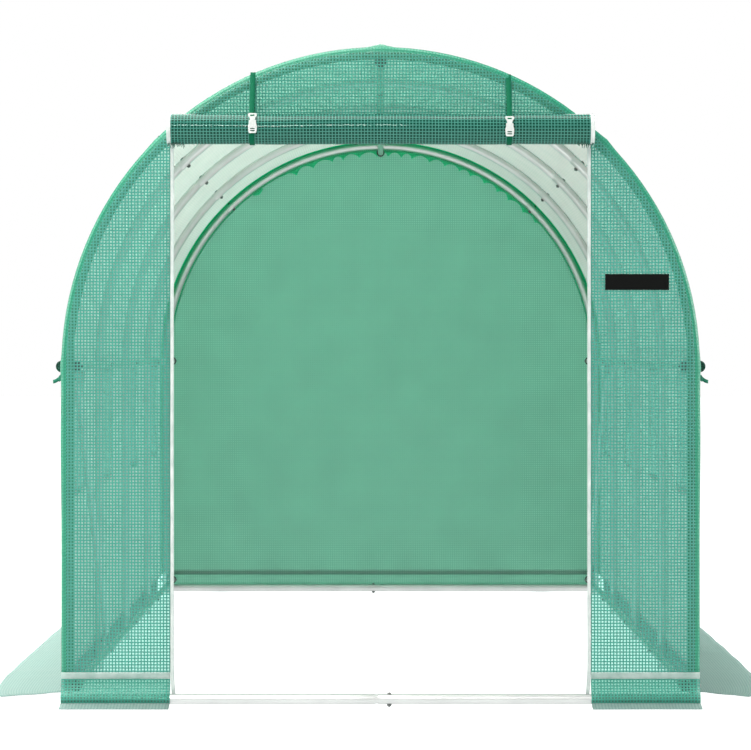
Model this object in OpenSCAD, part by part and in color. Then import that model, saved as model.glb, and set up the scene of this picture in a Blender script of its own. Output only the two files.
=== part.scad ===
// Polytunnel greenhouse: five bolted steel hoops, long rails and end bars under a
// fitted mesh cover, with a door rolled up at the front and eight side windows.
// The front faces -Y. The origin is on the ground, under the middle of the tunnel.

/* [Frame] */
// Radius of the hoops, to the middle of the tube
hoop_r = 984; // [700:1:1400]
// Height at which the straight legs end and the round top begins
spring_h = 1065; // [800:1:1300]
// Distance from one hoop to the next
bay_l = 1115; // [800:1:1400]
// Outside diameter of the hoop tube and of the bars across both ends
hoop_d = 32; // [22:1:40]
// Angle at which a hoop's left bend ends and its crown begins
left_joint_a = 44.5; // [30:0.5:60]
// Angle at which its right bend ends and its crown begins
right_joint_a = 47; // [30:0.5:60]
// Outside diameter of the long rails and of the braces
rail_d = 26; // [18:1:36]
// Height of the low rails, to the middle of the tube
low_rail_z = 63; // [40:1:200]
// Gap under the bars across both ends, which leaves room for their nuts
bar_lift = 8; // [2:1:20]
// Width and thickness of the plastic caps on the rail ends
cap = [36, 2];
// Length and thickness of the flattened ends of a brace
brace_end = [46, 4];

/* [Cover] */
// Thickness of the cover as a closed solid
cover_t = 3; // [1.5:0.5:6]
// Height at which the skirts begin
skirt_h = 100; // [60:5:200]
// How far the side skirts lie out from the walls, half way along
side_skirt_w = 284; // [80:1:400]
// How far they lie out at their two ends
side_skirt_end_w = 198; // [60:1:400]
// How far the skirts of both ends lie out from the end bars
end_skirt_w = 70; // [30:1:250]
// Distance from a side skirt's end back from the end of the tunnel
skirt_set_in = 245; // [50:5:500]

/* [Door] */
// Clear width between the two zip tapes
door_w = 1294; // [700:2:1500]
// Distance from the top of the arch down to the top edge of the door
door_drop = 265; // [150:5:500]
// Width of a zip tape
tape_w = 12; // [8:1:40]
// Radius of the rolled-up door
roll_r = 49; // [30:1:80]
// Height of the roll's middle over the top edge of the door
roll_rise = 5; // [0:1:60]
// How far the roll stands past the clear width, on each side
roll_over = 18; // [0:1:40]
// Distance of a strap from the middle of the door
strap_x = 400; // [150:5:600]
// Width and thickness of the straps
strap = [16, 2];
// Width, depth and height of a strap buckle
buckle = [30, 10, 63];

/* [Windows] */
// Width of a window
win_w = 400; // [250:5:700]
// Height of a window
win_h = 380; // [200:5:600]
// Distance from the window's top edge to the round top
win_drop = 25; // [15:1:200]
// Radius of a rolled-up window flap
flap_r = 20; // [12:1:40]
// Length of a rolled-up window flap
flap_l = 440; // [250:5:700]
// Distance of a tie from the middle of its flap
tie_y = 130; // [60:5:300]
// Width and thickness of a tie
tie = [12, 1.5];

/* [Fit] */
// Gap left between pieces that rest on one another
seat = 0.3; // [0.1:0.05:0.5]

/* [Hidden] */
$fn = 96;
far = 10000;
half_l = 2 * bay_l;
frame_r = hoop_r + hoop_d / 2;
cover_in = frame_r + seat;
cover_out = cover_in + cover_t;
rail_x = hoop_r - hoop_d / 2 - seat - rail_d / 2;
rail_end = half_l + hoop_d / 2;
panel_in = rail_end + cap[1] + seat;
panel_out = panel_in + cover_t;
bar_y = rail_end + seat + hoop_d / 2;
bar_z = bar_lift + hoop_d / 2;
top_z = spring_h + frame_r;
door_top = top_z - door_drop;
door_edge = door_w / 2 + tape_w;
tape_top = min(door_top, spring_h + sqrt(frame_r * frame_r - door_edge * door_edge) - seat);
roll_z = door_top + roll_rise;
ring_r = roll_r + seat + strap[1];
roll_y = -(panel_out + seat + ring_r);
roll_half = door_w / 2 + roll_over;
win_top = spring_h - win_drop;
tie_r = flap_r + seat + tie[1];
flap_x = cover_out + seat + tie_r;
flap_z = win_top + 15;
brace_a0 = atan2(spring_h - low_rail_z, bay_l);
brace_gap = rail_d / 2 + seat + (rail_d / 2) * cos(brace_a0);
brace_top = spring_h - brace_gap;
brace_low = low_rail_z + brace_gap;
brace_a = atan2(brace_top - brace_low, bay_l);
brace_l = sqrt(bay_l * bay_l + (brace_top - brace_low) * (brace_top - brace_low));

// A cylinder that lies along Y or along X, from its middle
module along_y(r, l) rotate([90, 0, 0]) cylinder(r = r, h = l, center = true);
module along_x(r, l) rotate([0, 90, 0]) cylinder(r = r, h = l, center = true);

// A box given by its two far corners
module box(a, b) translate(a) cube(b - a);

// Turns a profile (radius, length along Y) about the middle of the round top
module sweep(start, angle)
  translate([0, 0, spring_h]) rotate([90, 0, 0]) rotate([0, 0, start])
    rotate_extrude(angle = angle) children();

// Frame
module hoop_legs(i)
  color([0.86, 0.87, 0.87])
    for (s = [-1, 1]) translate([s * hoop_r, (i - 3) * bay_l, 0]) cylinder(d = hoop_d, h = spring_h);

module hoop_arc(i, start, angle)
  color([0.86, 0.87, 0.87]) translate([0, (i - 3) * bay_l, 0])
    sweep(start, angle) translate([hoop_r, 0]) circle(d = hoop_d);

module hoop_bends(i) {
  hoop_arc(i, 0, right_joint_a);
  hoop_arc(i, 180 - left_joint_a, left_joint_a);
}

module hoop_crown(i) hoop_arc(i, right_joint_a, 180 - left_joint_a - right_joint_a);

module rail(x, z)
  color([0.86, 0.87, 0.87]) translate([x, 0, z]) along_y(rail_d / 2, 2 * rail_end);

module base_bar(s)
  color([0.86, 0.87, 0.87]) translate([0, s * bar_y, bar_z]) along_x(hoop_d / 2, 2 * frame_r);

// A brace from the top of one leg to the foot of the next, seen along X, tube and flat ends
module brace()
  translate([0, 0, brace_top]) rotate([-brace_a, 0, 0]) {
    translate([0, brace_l / 2, 0]) along_y(rail_d / 2, brace_l - 2 * brace_end[0]);
    for (y = [0, brace_l - brace_end[0] - 1])
      box([-rail_d / 2, y, -rail_d / 2], [brace_end[1] - rail_d / 2, y + brace_end[0] + 1, rail_d / 2]);
  }

module diagonal_braces()
  color([0.86, 0.87, 0.87]) {
    translate([-rail_x, -half_l, 0]) brace();
    translate([rail_x, bay_l, 0]) mirror([1, 0, 0]) brace();
  }

module rail_end_caps()
  color([0.12, 0.12, 0.12])
    for (s = [-1, 1], p = [[0, spring_h + rail_x], [rail_x, spring_h], [-rail_x, spring_h],
                           [rail_x, low_rail_z], [-rail_x, low_rail_z]])
      translate([p[0], s * (rail_end + cap[1] / 2), p[1]]) along_y(cap[0] / 2, cap[1]);

// Cover
module roof_strip(i)
  color([0.42, 0.74, 0.66]) sweep((i - 1) * 30, 30)
    translate([cover_in, -panel_out]) square([cover_t, 2 * panel_out]);

module at_windows()
  for (k = [-1.5, -0.5, 0.5, 1.5]) translate([0, k * bay_l, 0]) children();

module wall_sheet(s)
  color([0.42, 0.74, 0.66]) mirror([s < 0 ? 1 : 0, 0, 0]) difference() {
    box([cover_in, -panel_out, skirt_h], [cover_out, panel_out, spring_h]);
    at_windows() box([cover_in - 10, -win_w / 2, win_top - win_h],
                     [cover_out + 10, win_w / 2, win_top]);
  }

// The whole shape of an end wall, front or rear
module end_shape(s)
  translate([0, s * (panel_in + panel_out) / 2, 0]) {
    box([-frame_r, -cover_t / 2, skirt_h], [frame_r, cover_t / 2, spring_h]);
    intersection() {
      translate([0, 0, spring_h]) along_y(frame_r, cover_t, $fn = 720);
      box([-far, -far, spring_h], [far, far, far]);
    }
  }

module front_side_panel(s)
  color([0.45, 0.76, 0.70]) mirror([s < 0 ? 1 : 0, 0, 0]) intersection() {
    end_shape(-1);
    box([door_edge, -far, 0], [far, far, door_top]);
  }

module front_top_panel()
  color([0.44, 0.72, 0.67]) intersection() {
    end_shape(-1);
    box([-far, -far, door_top], [far, far, far]);
  }

module rear_panel() color([0.41, 0.69, 0.58]) end_shape(1);

module door_zip_tapes()
  color([0.93, 0.95, 0.94]) for (s = [-1, 1])
    box([s > 0 ? door_w / 2 : -door_edge + seat, -panel_out, skirt_h],
        [s > 0 ? door_edge - seat : -door_w / 2, -panel_in, tape_top - seat]);

module door_roll()
  color([0.24, 0.49, 0.44]) translate([0, roll_y, roll_z]) along_x(roll_r, 2 * roll_half);

module door_straps()
  color([0.13, 0.53, 0.42]) for (s = [-1, 1]) translate([s * strap_x, roll_y, roll_z]) {
    difference() {
      along_x(ring_r, strap[0]);
      along_x(roll_r + seat, 2 * strap[0]);
    }
    box([-strap[0] / 2, ring_r - strap[1], 0],
        [strap[0] / 2, ring_r, spring_h + sqrt(frame_r * frame_r - strap_x * strap_x) - roll_z]);
  }

module strap_buckles()
  color([0.95, 0.95, 0.95]) for (s = [-1, 1])
    translate([s * strap_x, roll_y - ring_r - seat - buckle[1] / 2, roll_z + 9 - 5 * s])
      cube(buckle, center = true);

module window_screens()
  color([0.55, 0.66, 0.63]) for (s = [-1, 1]) mirror([s < 0 ? 1 : 0, 0, 0]) at_windows()
    box([cover_in, -win_w / 2 + seat, win_top - win_h + seat], [cover_out, win_w / 2 - seat, win_top - seat]);

module window_flap_rolls()
  color([0.28, 0.55, 0.48]) for (s = [-1, 1]) translate([s * flap_x, 0, flap_z])
    at_windows() along_y(flap_r, flap_l);

module window_ties()
  color([0.16, 0.45, 0.37]) for (s = [-1, 1], t = [-1, 1]) translate([s * flap_x, t * tie_y, flap_z])
    at_windows() difference() {
      along_y(tie_r, tie[0]);
      along_y(flap_r + seat, 2 * tie[0]);
    }

module side_skirts()
  color([0.60, 0.74, 0.70]) for (s = [-1, 1]) mirror([s < 0 ? 1 : 0, 0, 0]) {
    y0 = rail_end - skirt_set_in;
    x0 = cover_in + side_skirt_end_w;
    x1 = cover_in + side_skirt_w;
    xm = x0 + (x1 - x0) * 0.75;
    box([cover_in, -y0, 0], [cover_out, y0, skirt_h]);
    linear_extrude(cover_t) polygon([
      [cover_in, -y0], [x0, -y0], [xm, -y0 / 2], [x1, 0], [xm, y0 / 2], [x0, y0], [cover_in, y0]]);
  }

// Runs from the end wall out over the end bar, down to the ground and along it
module skirt_run(x0, x1)
  translate([x0, 0, 0]) rotate([90, 0, 90]) linear_extrude(x1 - x0) {
    y1 = bar_y + hoop_d / 2 + seat;
    z1 = bar_z + hoop_d / 2;
    y2 = y1 + end_skirt_w;
    polygon([
      [panel_in, skirt_h], [panel_in, z1 + hoop_d * 0.75], [y1, z1], [y1, 0], [y2, 0], [y2, cover_t],
      [y1 + cover_t, cover_t], [y1 + cover_t, z1 + cover_t / 2], [panel_out, z1 + hoop_d * 0.75 + cover_t / 2],
      [panel_out, skirt_h]]);
  }

module end_skirts()
  color([0.55, 0.72, 0.68]) {
    skirt_run(-frame_r, frame_r);
    mirror([0, 1, 0]) {
      skirt_run(-frame_r, -door_edge);
      skirt_run(door_edge, frame_r);
    }
  }

hoop_legs(1);  // hoop_1_legs
hoop_bends(1);  // hoop_1_bends
hoop_crown(1);  // hoop_1_crown
hoop_legs(2);  // hoop_2_legs
hoop_bends(2);  // hoop_2_bends
hoop_crown(2);  // hoop_2_crown
hoop_legs(3);  // hoop_3_legs
hoop_bends(3);  // hoop_3_bends
hoop_crown(3);  // hoop_3_crown
hoop_legs(4);  // hoop_4_legs
hoop_bends(4);  // hoop_4_bends
hoop_crown(4);  // hoop_4_crown
hoop_legs(5);  // hoop_5_legs
hoop_bends(5);  // hoop_5_bends
hoop_crown(5);  // hoop_5_crown
rail(0, spring_h + rail_x);  // ridge_beam
rail(-rail_x, spring_h);  // left_mid_rail
rail(rail_x, spring_h);  // right_mid_rail
rail(-rail_x, low_rail_z);  // left_base_rail
rail(rail_x, low_rail_z);  // right_base_rail
base_bar(-1);  // front_base_bar
base_bar(1);  // rear_base_bar
diagonal_braces();
rail_end_caps();
roof_strip(1);  // roof_strip_1
roof_strip(2);  // roof_strip_2
roof_strip(3);  // roof_strip_3
roof_strip(4);  // roof_strip_4
roof_strip(5);  // roof_strip_5
roof_strip(6);  // roof_strip_6
wall_sheet(-1);  // left_wall_sheet
wall_sheet(1);  // right_wall_sheet
front_side_panel(-1);  // front_left_panel
front_side_panel(1);  // front_right_panel
front_top_panel();
rear_panel();
door_zip_tapes();
door_roll();
door_straps();
strap_buckles();
window_screens();
window_flap_rolls();
window_ties();
side_skirts();
end_skirts();
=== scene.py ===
import math
import random

import bmesh
import bpy
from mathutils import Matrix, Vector, noise


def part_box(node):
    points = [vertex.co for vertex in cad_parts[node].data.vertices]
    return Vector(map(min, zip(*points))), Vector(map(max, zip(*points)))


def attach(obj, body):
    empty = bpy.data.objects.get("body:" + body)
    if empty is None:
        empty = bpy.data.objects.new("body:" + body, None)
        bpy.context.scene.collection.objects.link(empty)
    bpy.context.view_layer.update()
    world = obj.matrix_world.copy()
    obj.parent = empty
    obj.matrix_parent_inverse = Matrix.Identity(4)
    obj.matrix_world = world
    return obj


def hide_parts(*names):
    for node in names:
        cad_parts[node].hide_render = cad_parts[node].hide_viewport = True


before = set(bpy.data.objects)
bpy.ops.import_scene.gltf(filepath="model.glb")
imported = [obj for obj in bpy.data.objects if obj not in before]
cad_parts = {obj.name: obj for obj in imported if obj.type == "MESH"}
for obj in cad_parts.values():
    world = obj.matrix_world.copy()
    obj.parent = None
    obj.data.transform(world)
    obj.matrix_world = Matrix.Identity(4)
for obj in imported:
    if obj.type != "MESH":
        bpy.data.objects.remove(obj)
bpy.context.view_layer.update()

# Studio: a white light table under the tunnel, a large soft light overhead, a strip light in
# front, soft ones behind and at both sides, and a pale surround. The camera stands level before
# the door.
scene = bpy.context.scene
scene.view_settings.view_transform = "Standard"
scene.cycles.transparent_max_bounces = 24


def linear(hex_colour, alpha=1.0):
    """An sRGB hex colour as the linear numbers that a shader takes."""
    c = [int(hex_colour[i : i + 2], 16) / 255 for i in (1, 3, 5)]
    return [v / 12.92 if v <= 0.04045 else ((v + 0.055) / 1.055) ** 2.4 for v in c] + [alpha]


def add(tree, kind, inputs=None, **settings):
    """Adds a node with its settings. An input is a value, or a socket to link from."""
    n = tree.nodes.new(kind)
    for key, value in settings.items():
        setattr(n, key, value)
    for key, value in (inputs or {}).items():
        if isinstance(value, bpy.types.NodeSocket):
            tree.links.new(value, n.inputs[key])
        else:
            n.inputs[key].default_value = value
    return n


def new_material(name):
    """An empty node material, and its tree."""
    m = bpy.data.materials.new(name)
    m.use_nodes = True
    m.node_tree.nodes.clear()
    return m, m.node_tree


floor_mesh = bpy.data.meshes.new("light_table")
floor_mesh.from_pydata([(-40, -40, 0), (40, -40, 0), (40, 60, 0), (-40, 60, 0)], [], [(0, 1, 2, 3)])
floor = bpy.data.objects.new("light_table", floor_mesh)
scene.collection.objects.link(floor)
floor.location.z = -0.001
# Frosted white sheet lit from below: it looks evenly white, and lights the tunnel more weakly
table, t = new_material("matt_white_light_table")
dull = add(t, "ShaderNodeBsdfDiffuse", {"Color": linear("#9a9d9c")})
glow = add(t, "ShaderNodeEmission", {"Color": linear("#ffffff"), "Strength": 1.05})
low_glow = add(t, "ShaderNodeEmission", {"Color": linear("#ffffff"), "Strength": 0.80})
ray = add(t, "ShaderNodeLightPath")
shown = add(t, "ShaderNodeMixShader",
            {0: ray.outputs["Is Camera Ray"], 1: low_glow.outputs[0], 2: glow.outputs[0]})
both = add(t, "ShaderNodeAddShader", {0: dull.outputs[0], 1: shown.outputs[0]})
add(t, "ShaderNodeOutputMaterial", {"Surface": both.outputs[0]})
floor_mesh.materials.append(table)

world = bpy.data.worlds.new("studio_surround")
world.use_nodes = True
scene.world = world
t = world.node_tree
t.nodes.clear()
where = add(t, "ShaderNodeTexCoord")
axes = add(t, "ShaderNodeSeparateXYZ", {0: where.outputs["Generated"]})
height = add(t, "ShaderNodeMapRange", {0: axes.outputs["Z"], 1: 0.0, 2: 0.75, 3: 0.0, 4: 1.0})
behind = add(t, "ShaderNodeMapRange", {0: axes.outputs["Y"], 1: -0.3, 2: 0.9, 3: 1.0, 4: 0.95})
dim = add(t, "ShaderNodeMath", {0: height.outputs[0], 1: behind.outputs[0]}, operation="MAXIMUM")
light = add(t, "ShaderNodeMix", {0: dim.outputs[0], 6: linear("#6f7674"), 7: linear("#ffffff")},
            data_type="RGBA")
surround = add(t, "ShaderNodeBackground", {"Color": light.outputs[2], "Strength": 0.62})
seen = add(t, "ShaderNodeBackground", {"Color": linear("#ffffff"), "Strength": 1.0})
world_ray = add(t, "ShaderNodeLightPath")
pick = add(t, "ShaderNodeMixShader",
           {0: world_ray.outputs["Is Camera Ray"], 1: surround.outputs[0], 2: seen.outputs[0]})
add(t, "ShaderNodeOutputWorld", {"Surface": pick.outputs[0]})

for name, place, aim, size, watts in (
    ("overhead_soft_light", (-1.7, -1.0, 6.5), (0.0, 0.5, 1.0), (6.0, 7.0), 760),
    ("front_strip_light", (-1.9, -9.5, 5.2), (0.0, 0.0, 1.0), (4.2, 0.3), 300),
    ("rear_soft_light", (-1.0, 8.0, 4.6), (0.0, 2.0, 1.0), (5.0, 4.0), 680),
    ("left_soft_light", (-7.5, 0.0, 2.6), (0.0, 0.0, 0.9), (5.5, 4.0), 360),
    ("right_soft_light", (7.5, 0.0, 2.6), (0.0, 0.0, 0.9), (5.5, 4.0), 500),
):
    lamp = bpy.data.lights.new(name, "AREA")
    lamp.shape, lamp.size, lamp.size_y, lamp.energy = "RECTANGLE", *size, watts
    lamp.color = linear("#fffdf8")[:3]
    o = bpy.data.objects.new(name, lamp)
    scene.collection.objects.link(o)
    o.location = place
    o.visible_camera = False
    o.rotation_euler = (Vector(aim) - Vector(place)).to_track_quat("-Z", "Y").to_euler()

camera = bpy.data.objects.new("camera", bpy.data.cameras.new("camera"))
scene.collection.objects.link(camera)
camera.location = (0.0, -11.939, 1.118)
camera.rotation_euler = (math.radians(90), 0, 0)
camera.data.lens, camera.data.sensor_width = 148.28, 36
camera.data.shift_x, camera.data.shift_y = -0.0068, -0.0341
camera.data.clip_end = 200
scene.camera = camera

# Frame tubes: thin-walled steel tube, bent cold and zinc plated. Each joint is a swaged
# neck pushed into the next tube, whose cut edge shows as a fine step, with a bolt through both.
legs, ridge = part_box("hoop_1_legs"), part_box("ridge_beam")
HOOP_TUBE = (legs[1][1] - legs[0][1]) / 2
RAIL_TUBE = (ridge[1][0] - ridge[0][0]) / 2
HOOP_R = legs[1][0] - HOOP_TUBE
SPRING = legs[1][2]
HOOPS = [(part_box(f"hoop_{i}_legs")[0][1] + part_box(f"hoop_{i}_legs")[1][1]) / 2 for i in range(1, 6)]
BAY = HOOPS[1] - HOOPS[0]
FRONT, REAR = HOOPS[0], HOOPS[-1]
TUBE_WALL = 0.0009


def zinc_plated_tube():
    """Bright zinc over drawn steel: pale grey, satin, with faint lengthwise draw marks."""
    m, t = new_material("zinc_plated_steel_tube")
    uv = add(t, "ShaderNodeTexCoord")
    # Draw marks about 1.5 mm apart round the tube and long along it
    place = add(t, "ShaderNodeMapping", {0: uv.outputs["UV"], 3: (650, 9, 1)})
    marks = add(t, "ShaderNodeTexNoise", {"Vector": place.outputs[0], "Scale": 1.0, "Detail": 3.0})
    cloud = add(t, "ShaderNodeTexNoise", {"Vector": uv.outputs["Object"], "Scale": 9.0, "Detail": 4.0})
    blend = add(t, "ShaderNodeMix", {0: 0.45, 2: marks.outputs[0], 3: cloud.outputs[0]}, data_type="FLOAT")
    tone = add(t, "ShaderNodeValToRGB", {0: blend.outputs[0]})
    tone.color_ramp.elements[0].position, tone.color_ramp.elements[0].color = 0.3, linear("#c6c9c8")
    tone.color_ramp.elements[1].position, tone.color_ramp.elements[1].color = 0.7, linear("#e2e4e3")
    rough = add(t, "ShaderNodeMapRange", {0: blend.outputs[0], 3: 0.26, 4: 0.38})
    bump = add(t, "ShaderNodeBump", {"Strength": 0.05, "Distance": 0.0003, "Height": marks.outputs[0]})
    s = add(t, "ShaderNodeBsdfPrincipled", {"Base Color": tone.outputs[0], "Roughness": rough.outputs[0],
                                            "Metallic": 0.80, "Normal": bump.outputs[0]})
    add(t, "ShaderNodeOutputMaterial", {"Surface": s.outputs[0]})
    return m


zinc = zinc_plated_tube()


def put(name, verts, faces, materials, uvs=None, smooth=True, slots=None):
    """A mesh piece at the origin. uvs is one pair per vertex, or a list of one per face corner."""
    mesh = bpy.data.meshes.new(name)
    mesh.from_pydata([tuple(v) for v in verts], [], faces)
    for m in materials if isinstance(materials, (list, tuple)) else [materials]:
        mesh.materials.append(m)
    if uvs:
        layer = mesh.uv_layers.new(name="UVMap")
        per_corner = len(uvs) != len(verts)
        for loop in mesh.loops:
            layer.data[loop.index].uv = uvs[loop.index] if per_corner else uvs[loop.vertex_index]
    for i, p in enumerate(mesh.polygons):
        p.use_smooth = smooth
        if slots:
            p.material_index = slots[i]
    mesh.validate()
    mesh.update()
    o = bpy.data.objects.new(name, mesh)
    scene.collection.objects.link(o)
    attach(o, "root")
    return o


def skin(count, sides):
    """The faces of a closed skin over that many rings of points, with both ends."""
    faces = []
    for k in range(count - 1):
        for j in range(sides):
            q = (j + 1) % sides
            faces.append((k * sides + j, k * sides + q, (k + 1) * sides + q, (k + 1) * sides + j))
    return faces + [tuple(range(sides - 1, -1, -1)), tuple((count - 1) * sides + j for j in range(sides))]


def sweep(at, rings, side, sides=20, squeeze=None):
    """Sweeps a ring along at(s), which gives a point and a direction. rings is (s, radius)."""
    verts, uvs = [], []
    for s, r in rings:
        p, d = at(s)
        n = Vector(side).cross(d).normalized()
        b = Vector(side)
        a_r, b_r = squeeze(s, r) if squeeze else (r, r)
        for j in range(sides):
            a = 2 * math.pi * j / sides
            verts.append(p + n * a_r * math.cos(a) + b * b_r * math.sin(a))
            uvs.append((j / sides * 2 * math.pi * r, s))
    return verts, skin(len(rings), sides), uvs


def join(parts):
    """Several (verts, faces, uvs) as one."""
    verts, faces, uvs = [], [], []
    for v, f, u in parts:
        faces += [tuple(i + len(verts) for i in q) for q in f]
        verts += v
        uvs += u
    return verts, faces, uvs


def stand_in(name, shape, material, slot, *nodes):
    """A piece from (verts, faces, uvs), which hides the CAD nodes it stands for. Its slot is not used."""
    o = put(name, shape[0], shape[1], material, shape[2])
    if nodes:
        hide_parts(*nodes)
    return o


def tube_rings(start, end, radius, steps, neck_start=0.0, neck_end=0.0):
    """Rings of a tube with open bores, its ends cut square or swaged to a neck of that length."""
    bore = radius - TUBE_WALL
    rings = []
    if neck_start:
        rings += [(start - neck_start, radius * 0.90), (start, radius * 0.91), (start + 0.010, radius)]
    else:
        rings += [(start + 0.03, bore), (start, bore), (start, radius - 0.0002), (start + 0.0003, radius)]
    rings += [(start + (end - start) * k / steps, radius) for k in range(1, steps)]
    if neck_end:
        rings += [(end - 0.010, radius), (end, radius * 0.91), (end + neck_end, radius * 0.90)]
    else:
        rings += [(end - 0.0003, radius), (end, radius - 0.0002), (end, bore), (end - 0.03, bore)]
    return rings


def arch_at(y, start_angle):
    """Along a hoop's round top, s in metres from start_angle, anticlockwise seen from the front."""
    def at(s):
        a = start_angle + s / HOOP_R
        return (Vector((HOOP_R * math.cos(a), y, SPRING + HOOP_R * math.sin(a))),
                Vector((-math.sin(a), 0, math.cos(a))))
    return at


crown_low, crown_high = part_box("hoop_1_crown")
LEFT_JOINT = math.acos(-crown_low[0] / (HOOP_R + HOOP_TUBE))
RIGHT_JOINT = math.acos(crown_high[0] / (HOOP_R + HOOP_TUBE))
SHOULDER = 0.004
crown_end = HOOP_R * (math.pi - LEFT_JOINT - RIGHT_JOINT)
for i, y in enumerate(HOOPS, 1):
    leg_parts = [sweep(lambda s, x=x: (Vector((x, y, s)), Vector((0, 0, 1))),
                       tube_rings(0.0, SPRING, HOOP_TUBE, 6), (0, 1, 0)) for x in (-HOOP_R, HOOP_R)]
    right_bend = sweep(arch_at(y, 0.0), tube_rings(0.0, HOOP_R * RIGHT_JOINT, HOOP_TUBE, 22, 0.04, 0.0),
                       (0, 1, 0))
    left_bend = sweep(arch_at(y, math.pi - LEFT_JOINT),
                      tube_rings(SHOULDER, HOOP_R * LEFT_JOINT, HOOP_TUBE, 22, 0.04, 0.04), (0, 1, 0))
    bend_parts = [right_bend, left_bend]
    crown = sweep(arch_at(y, RIGHT_JOINT), tube_rings(SHOULDER, crown_end, HOOP_TUBE, 44, 0.04, 0.0),
                  (0, 1, 0))
    for kind, shape in (("legs", join(leg_parts)), ("bends", join(bend_parts)), ("crown", crown)):
        stand_in(f"tube_hoop_{i}_{kind}", shape, zinc, "galvanised_tube", f"hoop_{i}_{kind}")

# Long rails: five straight runs of slimmer tube on the inside of the hoops, each made of
# four lengths that join a hand's width behind a hoop. Each has the way its bolts point outwards.
RAILS = {"ridge_beam": (0, 0, 1), "left_mid_rail": (-1, 0, 0), "right_mid_rail": (1, 0, 0),
         "left_base_rail": (-1, 0, 0), "right_base_rail": (1, 0, 0)}
for node in RAILS:
    low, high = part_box(node)
    x, z = (low[0] + high[0]) / 2, (low[2] + high[2]) / 2
    cuts = [low[1]] + [y + 0.06 for y in HOOPS[1:-1]] + [high[1]]
    parts = []
    for k in range(4):
        neck = 0.03 if k else 0.0
        start = cuts[k] + (0.006 if k else 0.0)
        parts.append(sweep(lambda s: (Vector((x, s, z)), Vector((0, 1, 0))),
                           tube_rings(start, cuts[k + 1], RAIL_TUBE, 8, neck), (1, 0, 0), 18))
    stand_in(f"tube_{node}", join(parts), zinc, "galvanised_tube", node)

# Bars across the feet of both ends: two lengths each. The front one's right length and the
# rear one's left length take the other's swaged neck, a little off the middle.
BARS = (("front_base_bar", -0.008, 1), ("rear_base_bar", 0.002, -1))
for node, joint, socket in BARS:
    low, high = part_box(node)
    y, z = (low[1] + high[1]) / 2, (low[2] + high[2]) / 2
    end = high[0]

    def along(s, y=y, z=z, socket=socket):
        return Vector((socket * s, y, z)), Vector((socket, 0, 0))

    shape = join([sweep(along, tube_rings(-end, socket * joint - SHOULDER, HOOP_TUBE, 10, 0.0, 0.04),
                        (0, 1, 0)),
                  sweep(along, tube_rings(socket * joint, end, HOOP_TUBE, 10), (0, 1, 0))])
    stand_in(f"tube_{node}", shape, zinc, "galvanised_tube", node)

# Two diagonal braces, left in the first bay and right in the last, from under the mid rail to
# the foot of the next hoop. Their ends are pressed flat and bolted to the inside of the hoops.
FLAT_END, FLAT_EASE = 0.035, 0.055
low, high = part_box("diagonal_braces")
mid_low, base_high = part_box("left_mid_rail")[0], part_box("left_base_rail")[1]
parts = []
for x, y0 in ((low[0] + RAIL_TUBE, FRONT), (high[0] - RAIL_TUBE, HOOPS[3])):
    out = math.copysign(1, x)
    a, b = Vector((x, y0, mid_low[2] - 0.011)), Vector((x, y0 + BAY, base_high[2] + 0.011))
    length, way = (b - a).length, (b - a).normalized()

    def roundness(s, length=length):
        """From 0 in the flat of a pressed end to 1 in the round tube."""
        k = min(max((min(s, length - s) - FLAT_END) / FLAT_EASE, 0), 1)
        return k * k * (3 - 2 * k)

    def pressed(s, r, roundness=roundness):
        k = roundness(s)
        return r * (1.42 - 0.42 * k), r * (0.16 + 0.84 * k)

    def along(s, a=a, way=way, out=out, roundness=roundness):
        return a + way * s + Vector((out * RAIL_TUBE * 0.84 * (1 - roundness(s)), 0, 0)), way

    stations = [0.0, 0.004] + [0.02 + 0.01 * k for k in range(8)]
    stations += [0.11 + (length - 0.22) * k / 20 for k in range(21)]
    stations += [length - 0.09 + 0.01 * k for k in range(8)] + [length - 0.004, length]
    rings = [(s, RAIL_TUBE * (0.93 if s in (0.0, length) else 1.0)) for s in stations]
    parts.append(sweep(along, rings, (1, 0, 0), 18, pressed))
stand_in("tube_diagonal_braces", join(parts), zinc, "galvanised_tube", "diagonal_braces")

# Rail end caps: ten round plugs pushed into the rail ends, moulded in black polyethylene, each
# with a flange wider than the tube and a slightly domed face.
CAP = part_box("rail_end_caps")[1][2] - (ridge[0][2] + ridge[1][2]) / 2
RAIL_END = ridge[1][1]


def moulded_black_polyethylene():
    """Moulded polyethylene, dyed through: near black, with a waxy half shine and a fine grain."""
    m, t = new_material("moulded_black_polyethylene")
    at = add(t, "ShaderNodeTexCoord")
    grain = add(t, "ShaderNodeTexNoise", {"Vector": at.outputs["Object"], "Scale": 1400.0, "Detail": 2.0})
    dust = add(t, "ShaderNodeTexNoise", {"Vector": at.outputs["Object"], "Scale": 60.0, "Detail": 4.0})
    tone = add(t, "ShaderNodeMix", {0: dust.outputs[0], 6: linear("#141615"), 7: linear("#2c302e")},
               data_type="RGBA")
    rough = add(t, "ShaderNodeMapRange", {0: grain.outputs[0], 3: 0.38, 4: 0.55})
    bump = add(t, "ShaderNodeBump", {"Strength": 0.3, "Distance": 0.0002, "Height": grain.outputs[0]})
    s = add(t, "ShaderNodeBsdfPrincipled", {"Base Color": tone.outputs[2], "Roughness": rough.outputs[0],
                                            "Normal": bump.outputs[0]})
    add(t, "ShaderNodeOutputMaterial", {"Surface": s.outputs[0]})
    return m


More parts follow.
